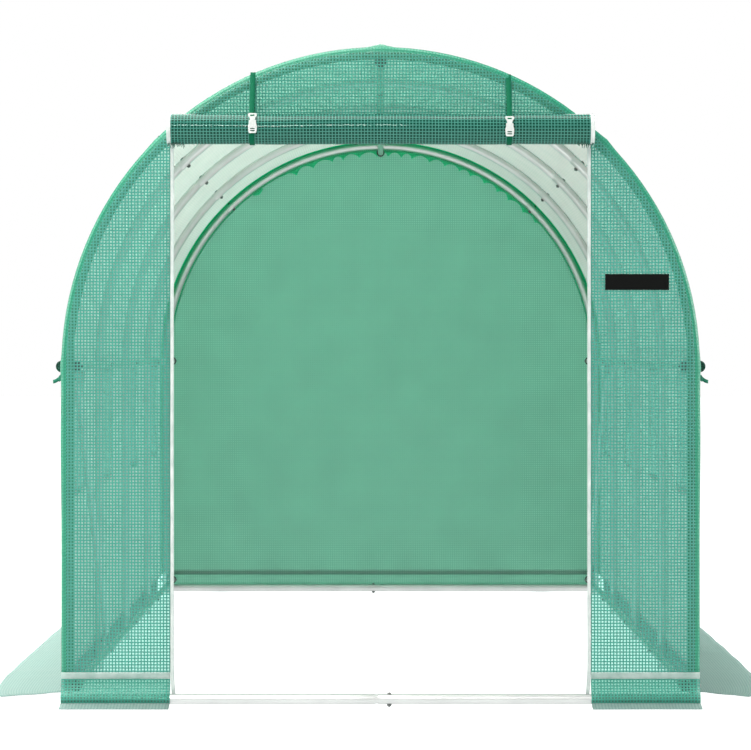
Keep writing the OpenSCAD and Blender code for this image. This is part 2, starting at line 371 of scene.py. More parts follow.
cap_profile = [(0.0, 2.2), (0.35, 2.15), (0.67, 1.95), (0.88, 1.45), (0.98, 0.6), (1.0, -0.6), (0.99, -2.2),
               (0.95, -3.2), (0.70, -3.4), (0.68, -16.0), (0.55, -17.0), (0.0, -17.0)]
caps = []
for way in (-1, 1):
    for node in RAILS:
        low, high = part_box(node)
        x, z = (low[0] + high[0]) / 2, (low[2] + high[2]) / 2
        rings = [(way * (RAIL_END + d / 1000), max(CAP * r, 0.0001)) for r, d in cap_profile]
        caps.append(sweep(lambda s, x=x, z=z, way=way: (Vector((x, s, z)), Vector((0, -way, 0))),
                          rings, (1, 0, 0), 36))
stand_in("rail_end_caps_moulded", join(caps), moulded_black_polyethylene(), "tube_cap", "rail_end_caps")

# Bolts: zinc plated M6 with domed heads outside and hex nuts on washers inside. One goes through
# each hoop joint, each crossing of hoop and rail, each bar joint, each leg's foot into a blind
# nut in the bar, and each brace end.
BOLT = 0.003
bolts = []
for y in HOOPS:
    for a in (math.pi - LEFT_JOINT - math.radians(1.5), RIGHT_JOINT - math.radians(2.0)):
        way = Vector((math.cos(a), 0, math.sin(a)))
        middle = Vector((0, y, SPRING)) + way * HOOP_R
        bolts.append((middle + way * HOOP_TUBE, middle - way * HOOP_TUBE, way))
    for node, way in RAILS.items():
        low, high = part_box(node)
        way = Vector(way)
        middle = Vector(((low[0] + high[0]) / 2, y, (low[2] + high[2]) / 2))
        bolts.append((middle + way * (RAIL_TUBE + 2 * HOOP_TUBE), middle - way * RAIL_TUBE, way))
for node, joint, socket in BARS:
    low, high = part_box(node)
    middle = Vector((joint + socket * 0.035, (low[1] + high[1]) / 2, (low[2] + high[2]) / 2))
    up = Vector((0, 0, 1))
    bolts.append((middle + up * HOOP_TUBE, middle - up * HOOP_TUBE, up))
    out = Vector((0, math.copysign(1, middle.y), 0))
    for x in (-HOOP_R, HOOP_R):
        in_bar = Vector((x, middle.y, middle.z))
        bolts.append((in_bar - out * (3 * HOOP_TUBE + 0.0003), in_bar - out * 0.004, -out))
for x, y0 in ((-1, FRONT), (1, HOOPS[3])):
    low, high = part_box("left_mid_rail"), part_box("left_base_rail")
    for y, z in ((y0 + 0.02, low[0][2] - 0.028), (y0 + BAY - 0.02, high[1][2] + 0.028)):
        face = Vector((x * (HOOP_R - HOOP_TUBE - 0.0045), y, z))
        way = Vector((-x, 0, 0))
        bolts.append((face, face - way * 0.006, way))

cloud = bpy.data.meshes.new("bolt_ends")
cloud.from_pydata([tuple(p) for b in bolts for p in (b[0], b[1])], [], [])
cloud.attributes.new("way", "FLOAT_VECTOR", "POINT").data.foreach_set(
    "vector", [c for b in bolts for v in (b[2], -b[2]) for c in v])
cloud.attributes.new("is_nut", "FLOAT", "POINT").data.foreach_set("value", [0.0, 1.0] * len(bolts))


def new_tree(name, *sizes):
    """An empty Geometry Nodes tree with those sizes and a finish as inputs, and its input node."""
    t = bpy.data.node_groups.new(name, "GeometryNodeTree")
    t.interface.new_socket("Geometry", in_out="INPUT", socket_type="NodeSocketGeometry")
    for size in sizes:
        t.interface.new_socket(size, in_out="INPUT", socket_type="NodeSocketFloat")
    t.interface.new_socket("Finish", in_out="INPUT", socket_type="NodeSocketMaterial")
    t.interface.new_socket("Geometry", in_out="OUTPUT", socket_type="NodeSocketGeometry")
    return t, add(t, "NodeGroupInput")


def end_tree(t, given, geometry):
    """Makes the instances real and gives them the finish."""
    real = add(t, "GeometryNodeRealizeInstances", {0: geometry})
    finished = add(t, "GeometryNodeSetMaterial",
                   {"Geometry": real.outputs[0], "Material": given.outputs["Finish"]})
    add(t, "NodeGroupOutput", {0: finished.outputs[0]})
    return t


def bolt_tree():
    """Puts a domed head, or a washer, nut and bolt tip, on each point, turned along its way."""
    t, given = new_tree("bolts", "Bolt Radius", "Head Width", "Head Height", "Nut Height")
    points = add(t, "GeometryNodeMeshToPoints", {"Mesh": given.outputs["Geometry"], "Radius": 0.001})
    way = add(t, "GeometryNodeInputNamedAttribute", {"Name": "way"}, data_type="FLOAT_VECTOR")
    turn = add(t, "FunctionNodeAlignRotationToVector", {"Vector": way.outputs[0]}, axis="Z")
    nut = add(t, "GeometryNodeInputNamedAttribute", {"Name": "is_nut"}, data_type="FLOAT")

    def stack(levels):
        """Cones and cylinders on one another. A level is (sides, low width, high width, height)."""
        geometry, base = [], None
        for sides, low, high, height in levels:
            cone = add(t, "GeometryNodeMeshCone",
                       {"Vertices": sides, "Radius Bottom": low, "Radius Top": high, "Depth": height})
            put_on = add(t, "GeometryNodeTransform", {"Geometry": cone.outputs[0]})
            if base is not None:
                lift = add(t, "ShaderNodeCombineXYZ", {"Z": base})
                t.links.new(lift.outputs[0], put_on.inputs["Translation"])
            geometry.append(put_on.outputs[0])
            base = add(t, "ShaderNodeMath", {0: base if base is not None else 0.0, 1: height},
                       operation="ADD").outputs[0]
        joined = add(t, "GeometryNodeJoinGeometry")
        for g in geometry:
            t.links.new(g, joined.inputs[0])
        return joined.outputs[0]

    def times(a, b):
        return add(t, "ShaderNodeMath", {0: a, 1: b}, operation="MULTIPLY").outputs[0]

    head, height = given.outputs["Head Width"], given.outputs["Head Height"]
    tall = given.outputs["Nut Height"]
    dome = stack([(20, times(head, 0.5), times(head, 0.48), times(height, 0.35)),
                  (20, times(head, 0.48), times(head, 0.34), times(height, 0.4)),
                  (20, times(head, 0.34), times(head, 0.1), times(height, 0.25))])
    hexed = stack([(20, times(head, 0.60), times(head, 0.60), times(tall, 0.22)),
                   (6, times(head, 0.50), times(head, 0.50), times(tall, 0.70)),
                   (6, times(head, 0.50), times(head, 0.42), times(tall, 0.12)),
                   (14, given.outputs["Bolt Radius"], times(given.outputs["Bolt Radius"], 0.8),
                    times(tall, 0.35))])
    both = []
    for kind, shape in ((0.0, dome), (1.0, hexed)):
        chosen = add(t, "FunctionNodeCompare", {0: nut.outputs[0], 1: kind, 12: 0.1}, operation="EQUAL")
        both.append(add(t, "GeometryNodeInstanceOnPoints",
                        {"Points": points.outputs[0], "Selection": chosen.outputs[0],
                         "Instance": shape, "Rotation": turn.outputs[0]}).outputs[0])
    joined = add(t, "GeometryNodeJoinGeometry")
    for g in both:
        t.links.new(g, joined.inputs[0])
    return end_tree(t, given, joined.outputs[0])


def grow(name, mesh, tree, sizes):
    """Runs a Geometry Nodes tree on a mesh and returns the result as a plain piece."""
    o = bpy.data.objects.new(name, mesh)
    scene.collection.objects.link(o)
    mod = o.modifiers.new("grow", "NODES")
    mod.node_group = tree
    for item in tree.interface.items_tree:
        if item.item_type == "SOCKET" and item.in_out == "INPUT" and item.name in sizes:
            mod[item.identifier] = sizes[item.name]
    graph = bpy.context.evaluated_depsgraph_get()
    grown = bpy.data.meshes.new_from_object(o.evaluated_get(graph), depsgraph=graph)
    o.modifiers.remove(mod)
    o.data = grown
    grown.name = name
    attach(o, "root")
    return o


bolt_finish = zinc.copy()
bolt_finish.name = "zinc_plated_bolt_steel"
# The same plating, set a darker grey than the drawn tube
for n in bolt_finish.node_tree.nodes:
    if n.type == "VALTORGB":
        n.color_ramp.elements[0].color, n.color_ramp.elements[1].color = linear("#5c605f"), linear("#868a89")
o = grow("joint_bolts", cloud, bolt_tree(), {"Bolt Radius": BOLT, "Head Width": 0.013, "Head Height": 0.005,
                                              "Nut Height": 0.006, "Finish": bolt_finish})

# Cover cloth: woven reinforcement yarns, about one a centimetre, laminated between two films of
# clear green polyethylene and cut by the metre. It is thin and glossy outside; its inner film is painted
# paler, as painted light.
CELL = 0.010
CLOTH = 0.0006


def reinforced_sheet(name, yarn, film, clear, glow, gloss=0.28, line=(0.42, 0.16), seen="#e6f5f0", shine=0.5,
                     coat=0.0):
    """Laminated scrim cloth. clear is how much the film lets through and seen the tint it gives,
    glow how much it spreads, line how wide a yarn is and how soft its edge, in half cells, and
    coat how glossy the outer film lies where it is pulled tight."""
    m, t = new_material(name)
    at = add(t, "ShaderNodeTexCoord")
    axes = add(t, "ShaderNodeSeparateXYZ", {0: at.outputs["UV"]})
    grids = []
    for axis in ("X", "Y"):
        # One yarn a cell, 10 mm apart, drawn from the middle of the cell
        fold = add(t, "ShaderNodeMath", {0: axes.outputs[axis], 1: CELL / 2}, operation="PINGPONG")
        wide, soft = line[0] * CELL / 2, line[1] * CELL / 2
        grids.append(add(t, "ShaderNodeMapRange",
                         {0: fold.outputs[0], 1: wide - soft, 2: wide + soft, 3: 1.0, 4: 0.0},
                         interpolation_type="SMOOTHSTEP").outputs[0])
    yarns = add(t, "ShaderNodeMath", {0: grids[0], 1: grids[1]}, operation="MAXIMUM")
    cross = add(t, "ShaderNodeMath", {0: grids[0], 1: grids[1]}, operation="MULTIPLY")
    # Handling marks a hand wide, and the weave's own unevenness
    cloud = add(t, "ShaderNodeTexNoise", {"Vector": at.outputs["Object"], "Scale": 7.0, "Detail": 5.0})
    tint = add(t, "ShaderNodeMix", {0: yarns.outputs[0], 6: linear(film), 7: linear(yarn)}, data_type="RGBA")
    shade = add(t, "ShaderNodeMapRange", {0: cloud.outputs[0], 1: 0.3, 2: 0.7, 3: 0.97, 4: 1.03})
    tone = add(t, "ShaderNodeVectorMath", {0: tint.outputs[2], "Scale": shade.outputs[0]}, operation="SCALE")
    height = add(t, "ShaderNodeMath", {0: yarns.outputs[0], 1: cross.outputs[0]}, operation="ADD")
    bump = add(t, "ShaderNodeBump", {"Strength": 0.55, "Distance": 0.0006, "Height": height.outputs[0]})
    rough = add(t, "ShaderNodeMapRange", {0: cloud.outputs[0], 3: gloss * 0.8, 4: gloss * 1.4})
    face = add(t, "ShaderNodeBsdfPrincipled", {"Base Color": tone.outputs[0], "Roughness": rough.outputs[0],
                                               "IOR": 1.51, "Specular IOR Level": shine,
                                               "Coat Weight": coat, "Coat Roughness": 0.06,
                                               "Normal": bump.outputs[0]})
    through = add(t, "ShaderNodeBsdfTranslucent", {"Color": tone.outputs[0], "Normal": bump.outputs[0]})
    body = add(t, "ShaderNodeMixShader", {0: glow, 1: face.outputs[0], 2: through.outputs[0]})
    hole = add(t, "ShaderNodeBsdfTransparent", {"Color": linear(seen)})
    solid = add(t, "ShaderNodeMapRange", {0: yarns.outputs[0], 3: 1.0 - clear, 4: 1.0})
    see = add(t, "ShaderNodeMixShader", {0: solid.outputs[0], 1: hole.outputs[0], 2: body.outputs[0]})
    add(t, "ShaderNodeOutputMaterial", {"Surface": see.outputs[0]})
    return m


# The roof's outer film is clear green over pale yarns. Its inner film is painted nearly white: painted light
# and reflection for the brightly lit inside of the roof.
roof_outer = reinforced_sheet("laminated_scrim_roof_outer", "#5cb59d", "#dcefe8", 0.30, 0.55)
roof_inner_painted_light = reinforced_sheet("laminated_scrim_roof_inner", "#fbe2e6", "#ffe9ec", 0.10, 0.50, 0.45)
# Where the cloth lies double it is a deeper green outside. Inside it is painted a bright green: painted light
# shining through the double cloth.
edge_cloth = reinforced_sheet("laminated_scrim_pulled_edge", "#2a9677", "#3fa98a", 0.0, 0.30, 0.24)
edge_inner_painted_light = reinforced_sheet("laminated_scrim_pulled_edge_inside_painted_light", "#66f0c2", "#82fbd4", 0.0, 0.70, 0.3)


def cloth(name, rows, columns, at, flat_at, materials, thick=CLOTH, closed=False):
    """A sheet as a grid. at(i, j) is a place, flat_at(i, j) where it was cut, and closed(i, j) leaves that
    cell out as a hole.
    """
    verts, uvs, where = [], [], {}
    for i in range(rows):
        for j in range(columns):
            where[i, j] = len(verts)
            verts.append(at(i, j))
            uvs.append(flat_at(i, j))
    faces = []
    for i in range(rows - 1):
        for j in range(columns - 1):
            if closed and closed(i, j):
                continue
            faces.append((where[i, j], where[i, j + 1], where[i + 1, j + 1], where[i + 1, j]))
    o = put(name, verts, faces, materials, uvs)
    used = set(k for f in faces for k in f)
    if len(used) < len(verts):
        bm = bmesh.new()
        bm.from_mesh(o.data)
        bmesh.ops.delete(bm, geom=[v for v in bm.verts if not v.link_faces], context="VERTS")
        bm.to_mesh(o.data)
        bm.free()
    wall = o.modifiers.new("thickness", "SOLIDIFY")
    wall.thickness = thick
    wall.offset = 0.0
    if isinstance(materials, (list, tuple)) and len(materials) > 1:
        wall.material_offset = 1
        wall.material_offset_rim = 0
    return o


# The tunnel cover is one sheet thrown over the hoops, pulled tight round both end hoops and
# sewn down inside them. It dips a little between hoops, and the bolt heads push it up.
wall_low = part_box("right_wall_sheet")[0]
HEM = wall_low[2] - 0.012
window_low, window_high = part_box("window_screens")
WINDOW = (window_low[2], window_high[2])
windows_y = [(HOOPS[k] + HOOPS[k + 1]) / 2 for k in range(4)]
WINDOW_HALF = window_high[1] - windows_y[-1]
COVER_R = HOOP_R + HOOP_TUBE + 0.0016


def spread(a, b, step):
    """Even stations from a up to but not including b, about a step apart."""
    n = max(1, round((b - a) / step))
    return [a + (b - a) * k / n for k in range(n)]


heights = spread(HEM, WINDOW[0], 0.041) + spread(WINDOW[0], WINDOW[1], 0.042)
heights += spread(WINDOW[1], SPRING, 0.013)
path = [(z - SPRING, None) for z in heights]
path += [(COVER_R * math.radians(a), math.radians(a)) for a in [2.5 * k for k in range(73)]]
path += [(COVER_R * math.pi + SPRING - z, None) for z in reversed(heights)]
along_y = []
for k in range(4):
    a, b = HOOPS[k], HOOPS[k + 1]
    w0, w1 = windows_y[k] - WINDOW_HALF, windows_y[k] + WINDOW_HALF
    along_y += [a, a + 0.012, a + 0.026, a + 0.045, a + 0.075]
    along_y += spread(a + 0.12, w0, 0.05) + spread(w0, w1, 0.045) + spread(w1, b - 0.12, 0.05)
    along_y += [b - 0.12, b - 0.075, b - 0.045, b - 0.026, b - 0.012]
along_y.append(REAR)
TURN = HOOP_TUBE + 0.0022
wrap = [(math.radians(a), 0.0) for a in (18, 36, 54, 72, 90)]
wrap += [(math.radians(90), d) for d in (0.008, 0.016, 0.022)]


def dip(y):
    """How far the cloth sinks between two hoops, from 0 on a hoop to 1 half way."""
    k = min(max(int((y - FRONT) / BAY), 0), 3)
    t = min(max((y - HOOPS[k]) / BAY, 0.0), 1.0)
    return 1 - abs(2 * t - 1) ** 2.2


def near(d, width):
    """1 where the distance is nothing, falling smoothly to nothing past that width."""
    return math.exp(-((d / width) ** 2))


def cover_off(s, angle, y):
    """How far the cloth stands off the even tunnel shape, outwards."""
    loose = dip(y)
    ripple = noise.noise(Vector((s * 1.7, y * 2.3, 4.0))) + 0.5 * noise.noise(Vector((s * 5.0, y * 4.0, 9.0)))
    off = loose * (0.0022 * ripple)
    bolt = min(abs(y - h) for h in HOOPS)
    if angle is None:
        z = SPRING + s if s < 0 else SPRING - (s - COVER_R * math.pi)
        off += 0.007 * near(z - 0.84, 0.17) * (0.35 + 0.65 * loose) - 0.003 * loose * near(z - 0.4, 0.3)
        off += 0.004 * near(bolt, 0.02) * near(z - SPRING, 0.03)
    else:
        off -= 0.009 * loose * math.sin(angle) ** 0.5 if 0 < angle < math.pi else 0.0
        shoulder = min(1.0, 5 * math.sin(max(angle, 0.0)))
        off += 0.009 * near(y - REAR, 0.11) * abs(math.cos(angle)) ** 0.5 * shoulder
        off += 0.0095 * near(bolt, 0.024) * near((angle - math.pi / 2) * COVER_R, 0.024)
        right_bolt = angle - RIGHT_JOINT + math.radians(2.0)
        left_bolt = angle - math.pi + LEFT_JOINT + math.radians(1.5)
        off += 0.0045 * near(bolt, 0.016) * near(right_bolt * COVER_R, 0.02)
        off += 0.0045 * near(bolt, 0.016) * near(left_bolt * COVER_R, 0.02)
        springing = near(angle * COVER_R, 0.03) + near((math.pi - angle) * COVER_R, 0.03)
        off += 0.004 * near(bolt, 0.02) * springing
    return off


def cover_place(s, angle, r, y):
    """A point on the tunnel shape: up a wall where the angle is None, else round the arch."""
    if angle is None:
        z = SPRING + s if s < 0 else SPRING - (s - COVER_R * math.pi)
        return (r if s < 0 else -r), y, z
    return r * math.cos(angle), y, SPRING + r * math.sin(angle)


front_edge = [(-1, p) for p in reversed(wrap)]
rear_edge = [(1, p) for p in wrap]
columns = front_edge + [(0, y) for y in along_y] + rear_edge


def cover_at(i, j):
    """Where the cover lies: row i runs round the tunnel, and column j along it."""
    s, angle = path[i]
    side, place = columns[j]
    if side == 0:
        return cover_place(s, angle, COVER_R + cover_off(s, angle, place), place)
    turn, inward = place
    hoop = FRONT if side < 0 else REAR
    bumped = cover_off(s, angle, hoop) * math.cos(turn) ** 2
    r = HOOP_R + (TURN + bumped) * math.cos(turn) - inward
    return cover_place(s, angle, r, hoop + side * TURN * math.sin(turn))


def cover_flat(i, j):
    """Where the same point was on the flat cloth."""
    side, place = columns[j]
    if side == 0:
        return place, path[i][0]
    turn, inward = place
    return (FRONT if side < 0 else REAR) + side * (TURN * turn + inward), path[i][0]


def in_window(i, j):
    """Whether that cell of the cover is cut out for a window."""
    s, angle = path[i]
    s2 = path[i + 1][0]
    if angle is not None and path[i + 1][1] is not None or columns[j][0] or columns[j + 1][0]:
        return False
    heights_here = [SPRING + v if v < 0 else SPRING - (v - COVER_R * math.pi) for v in (s, s2)]
    middle_z, middle_y = sum(heights_here) / 2, (columns[j][1] + columns[j + 1][1]) / 2
    return WINDOW[0] < middle_z < WINDOW[1] and min(abs(middle_y - y) for y in windows_y) < WINDOW_HALF


tunnel_cover = cloth("tunnel_cover", len(path), len(columns), cover_at, cover_flat,
                     [roof_outer, roof_inner_painted_light, edge_cloth, edge_inner_painted_light], closed=in_window)
# The cloth is double where it is pulled round the end hoops, and over the last 50 mm at the rear
for p in tunnel_cover.data.polygons:
    if p.center.y < FRONT - 0.004 or p.center.y > REAR - 0.05:
        p.material_index = 2
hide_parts("left_wall_sheet", "right_wall_sheet", *[f"roof_strip_{k}" for k in range(1, 7)])

# Front and rear walls: flat cuts of the same cloth, welded to the turned-in edge of the cover
# just inside the end hoops. The front is in three cuts round the doorway.
top_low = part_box("front_top_panel")[0]
tape_low, tape_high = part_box("door_zip_tapes")
FRONT_WALL = -(REAR + TURN + 0.0012)
REAR_WALL = REAR + TURN + 0.0012
DOOR_EDGE = tape_high[0]
DOOR_TOP = top_low[2]
WALL_R = HOOP_R + 0.001


def arch_height(x, r):
    """Height of an arch of that radius over x."""
    return SPRING + math.sqrt(max(r * r - x * x, 0.0))


def arch_half(z, r):
    """Half the width of the tunnel's outline at that height."""
    return r if z <= SPRING else math.sqrt(max(r * r - (z - SPRING) ** 2, 0.0))


def stretch_waves(x, z):
    """Slight waves of stretched cloth, which run to nothing at its edges."""
    wave = noise.noise(Vector((x * 3.1, z * 1.3, 2.0))) + 0.4 * noise.noise(Vector((x * 11.0, z * 6.0, 5.0)))
    return 0.0018 * wave + 0.0018


def wall_cut(name, material, y, out, z0, z1, inner, outer, rows, columns):
    """A flat cut between x = inner(z) and x = outer(z), from z0 up to z1."""
    def at(i, j):
        z = z0 + (z1 - z0) * i / (rows - 1)
        a, b = inner(z), outer(z)
        k = j / (columns - 1)
        x = a + (b - a) * k
        edge = min(1.0, 6 * k * (1 - k), 8 * (i / (rows - 1)) * (1 - i / (rows - 1)) + 0.15)
        return x, y + out * stretch_waves(x, z) * edge, z
    o = cloth(name, rows, columns, at, lambda i, j: (at(i, j)[0], at(i, j)[2]), material)
    return o


# The front cloth has nearly clear cells between its teal yarns. The front, over-the-door and rear walls are
# one cloth, each tinted for the light on it: painted light and shade. The rear copy is painted as that cloth
# in shade, and set nearly opaque.
front_cloth = reinforced_sheet("laminated_scrim_front_wall", "#4cab9b", "#b4e2d8", 0.90, 0.40, 0.28,
                               (0.36, 0.14), "#d9f4ee", 0.4)
top_cloth = reinforced_sheet("laminated_scrim_over_the_door", "#4bab99", "#addecf", 0.88, 0.45, 0.28,
                             (0.36, 0.14), "#cdeee6", 0.4)
rear_wall_painted_shade_cloth = reinforced_sheet("laminated_scrim_rear_wall_painted_shade", "#87baa9", "#a2d1c0", 0.02, 0.62, 0.5,
                              (0.40, 0.30), shine=0.3)

side_top = arch_height(DOOR_EDGE, WALL_R)
for side, node in ((-1, "front_left_panel"), (1, "front_right_panel")):
    o = wall_cut(f"sheet_{node}", front_cloth, FRONT_WALL, -1, HEM, side_top - 0.0005,
                 lambda z, s=side: s * DOOR_EDGE,
                 lambda z, s=side: s * max(arch_half(z, WALL_R), DOOR_EDGE + 0.0005), 64, 13)
    width, tall = WALL_R - DOOR_EDGE, side_top - HEM
    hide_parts(node)

TOP_ROWS, TOP_COLUMNS = 12, 56
half_top = math.sqrt(WALL_R ** 2 - (DOOR_TOP - SPRING) ** 2)


def top_at(i, j):
    """Where the cut over the door lies: row i runs up, and column j across."""
    x = -half_top + 2 * half_top * j / TOP_COLUMNS
    z = DOOR_TOP + (arch_height(x, WALL_R) - DOOR_TOP) * i / TOP_ROWS
    return x, FRONT_WALL - stretch_waves(x, z) * min(1.0, i / 3, (TOP_ROWS - i) / 3), z


o = cloth("sheet_front_top_panel", TOP_ROWS + 1, TOP_COLUMNS + 1, top_at,
          lambda i, j: (top_at(i, j)[0], top_at(i, j)[2]), top_cloth)
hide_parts("front_top_panel")

rear = wall_cut("sheet_rear_panel", rear_wall_painted_shade_cloth, REAR_WALL, 1, HEM, SPRING + WALL_R - 0.0005,
                lambda z: -arch_half(z, WALL_R), lambda z: arch_half(z, WALL_R), 70, 49)
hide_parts("rear_panel")

# The cover's turned-in edge at the rear is cut by hand in uneven scallops. It lies double inside
# the rear wall, so its green is deeper there and its yarns hardly show. Its green is also painted bright:
# painted light shining through the double cloth.
hem_painted_light_cloth = reinforced_sheet("laminated_scrim_double_hem_painted_light", "#3cdda5", "#4dedb5", 0.0, 0.50, 0.4,
                             (0.40, 0.30), shine=0.3)
cuts = random.Random(11)
scallops = [math.radians(38)]
while scallops[-1] < math.radians(118):
    scallops.append(scallops[-1] + cuts.uniform(0.050, 0.095))
depths = [cuts.uniform(0.016, 0.028) for _ in scallops]
LOOSE_END, LOOSE_HALF = math.radians(126), 0.030
HEM_END = math.radians(134)
HEM_STEPS = 520
HEM_STRIP = 0.009


def hem_depth(a):
    """How far the hem reaches inward: short points between rounded bites, and one loose end."""
    if abs(a - LOOSE_END) < LOOSE_HALF:
        return 0.022 * (1 - abs(a - LOOSE_END) / LOOSE_HALF) ** 0.4
    for k in range(len(scallops) - 1):
        if scallops[k] <= a < scallops[k + 1]:
            t = (a - scallops[k]) / (scallops[k + 1] - scallops[k])
            fade = min(1.0, (a - scallops[0]) / 0.12, (scallops[-1] - a) / 0.04)
            return fade * (0.007 + depths[k] * (1 - math.sin(math.pi * t) ** 0.7))
    return 0.0


def hem_angle(j):
    """How far round the arch that column of the hem is."""
    return scallops[0] + (HEM_END - scallops[0]) * j / HEM_STEPS


def hem_at(i, j):
    """Where the hem lies: row i runs inward, and column j round the arch."""
    a = hem_angle(j)
    r = HOOP_R - 0.010 - i * (hem_depth(a) + HEM_STRIP) / 2
    return r * math.cos(a), REAR_WALL - 0.0009, SPRING + r * math.sin(a)


o = cloth("rear_scalloped_hem", 3, HEM_STEPS + 1, hem_at, lambda i, j: (hem_at(i, j)[0], hem_at(i, j)[2]),
          hem_painted_light_cloth, 0.0004)


def milky_weld_tape(name, colour, clear):
    """Polyethylene or polyester tape: milky and smooth, with a fine diagonal press or weave."""
    m, t = new_material(name)
    at = add(t, "ShaderNodeTexCoord")
    press = add(t, "ShaderNodeTexWave", {"Vector": at.outputs["UV"], "Scale": 160.0, "Distortion": 0.3},
                bands_direction="DIAGONAL")
    cloud = add(t, "ShaderNodeTexNoise", {"Vector": at.outputs["Object"], "Scale": 30.0, "Detail": 4.0})
    tone = add(t, "ShaderNodeMix", {0: cloud.outputs[0], 6: linear(colour), 7: linear("#ffffff")},
               data_type="RGBA")
    bump = add(t, "ShaderNodeBump", {"Strength": 0.25, "Distance": 0.0003, "Height": press.outputs[0]})
    rough = add(t, "ShaderNodeMapRange", {0: cloud.outputs[0], 3: 0.28, 4: 0.45})
    face = add(t, "ShaderNodeBsdfPrincipled", {"Base Color": tone.outputs[2], "Roughness": rough.outputs[0],
                                               "IOR": 1.5, "Normal": bump.outputs[0]})
    through = add(t, "ShaderNodeBsdfTranslucent", {"Color": tone.outputs[2]})
    body = add(t, "ShaderNodeMixShader", {0: 0.4, 1: face.outputs[0], 2: through.outputs[0]})
    hole = add(t, "ShaderNodeBsdfTransparent", {"Color": linear("#ffffff")})
    see = add(t, "ShaderNodeMixShader", {0: 1.0 - clear, 1: hole.outputs[0], 2: body.outputs[0]})
    add(t, "ShaderNodeOutputMaterial", {"Surface": see.outputs[0]})
    return m


# Aprons: strips of doubled cloth welded on under a milky tape along the foot of both end walls.
# They hang over the end bars and run out on the ground, to be weighed down.
bar_low, bar_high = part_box("front_base_bar")
apron_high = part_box("end_skirts")[1]
BAR_Y, BAR_Z = -(bar_low[1] + bar_high[1]) / 2, (bar_low[2] + bar_high[2]) / 2
WELD = (HEM - 0.002, HEM + 0.019)
OVER = HOOP_TUBE + 0.0012
drape = [(REAR + TURN + 0.0024, HEM + 0.016), (REAR + TURN + 0.0026, HEM - 0.012),
         (REAR + TURN + 0.0034, 0.062)]
drape += [(BAR_Y + OVER * math.cos(math.radians(a)), BAR_Z + OVER * math.sin(math.radians(a)))
          for a in range(66, -43, -12)]
LAID = 5
foot = drape[-1]
drape += [(foot[0] + (apron_high[1] - 0.004 - foot[0]) * k / LAID,
           foot[1] * (1 - k / LAID) ** 1.4 + 0.0012)
          for k in range(1, LAID + 1)]
lengths = [0.0]
for a, b in zip(drape, drape[1:]):
    lengths.append(lengths[-1] + math.dist(a, b))
# Doubled cloth: less clear than the walls, and greyer and dull where it lies on the ground
apron_cloth = reinforced_sheet("laminated_scrim_apron", "#4eac98", "#9ad0c2", 0.86, 0.30, 0.28, (0.46, 0.14),
                               "#c2e2da", 0.4)
skirt_cloth = reinforced_sheet("laminated_scrim_skirt", "#82a09a", "#9ab2ad", 0.0, 0.20, 0.7, shine=0.15)
weld = milky_weld_tape("milky_polyethylene_weld_tape", "#9fc8be", 0.30)
aprons = (("front_left", -1, -(HOOP_R + HOOP_TUBE), -DOOR_EDGE),
          ("front_right", -1, DOOR_EDGE, HOOP_R + HOOP_TUBE),
          ("rear", 1, -(HOOP_R + HOOP_TUBE), HOOP_R + HOOP_TUBE))
for name, way, x0, x1 in aprons:
    count = round((x1 - x0) / 0.022)

    def apron_at(i, j, way=way, x0=x0, x1=x1, count=count):
        x = x0 + (x1 - x0) * j / count
        y, z = drape[i]
        free = max(0, i - len(drape) + LAID + 1) / LAID
        wave = noise.noise(Vector((x * 6.0, way * 3.0, 1.0)))
        edge = 0.006 * noise.noise(Vector((x * 4.0, way * 5.0, 7.0)))
        return x, way * (y + free * edge), max(z + 0.004 * free * (1 - free) * 4 * wave, 0.0006)

    # The rear apron takes the rear wall's cloth, painted as in shade.
    o = cloth(f"apron_{name}", len(drape), count + 1, apron_at,
              lambda i, j, x0=x0, x1=x1, count=count: (x0 + (x1 - x0) * j / count, lengths[i]),
              apron_cloth if way < 0 else rear_wall_painted_shade_cloth)
    o.data.materials.append(skirt_cloth)
    for p in o.data.polygons:
        p.material_index = 1 if p.index // count >= len(drape) - LAID - 1 else 0
    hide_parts("end_skirts")

    def tape_at(i, j, way=way, x0=x0, x1=x1, count=count):
        return x0 + (x1 - x0) * j / count, way * (REAR + TURN + 0.0048), WELD[0] + (WELD[1] - WELD[0]) * i / 3

    o = cloth(f"weld_tape_{name}", 4, count + 1, tape_at,
              lambda i, j, x0=x0, x1=x1, count=count: (x0 + (x1 - x0) * j / count, i * 0.007), weld, 0.0005)

# Side skirts: the cover's spare width, which lies on the ground along both walls to take soil.
# They are widest half way along and lie in slow waves.
skirt_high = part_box("side_skirts")[1]
END_Y = skirt_high[1]


def skirt_reach(side, y):
    """How far out the skirt's edge lies: nearly full over the middle, less at its ends."""
    t = abs(y) / END_Y
    full, end = skirt_high[0], skirt_high[0] - 0.102
    if side < 0:
        full, end = skirt_high[0] - 0.001, skirt_high[0] - 0.066
    wander = 0.003 * noise.noise(Vector((y * 4.0, side, 3.0)))
    return end + (full - end) * (1 - t ** 5) ** 0.5 * (1 - 0.04 * t) + wander


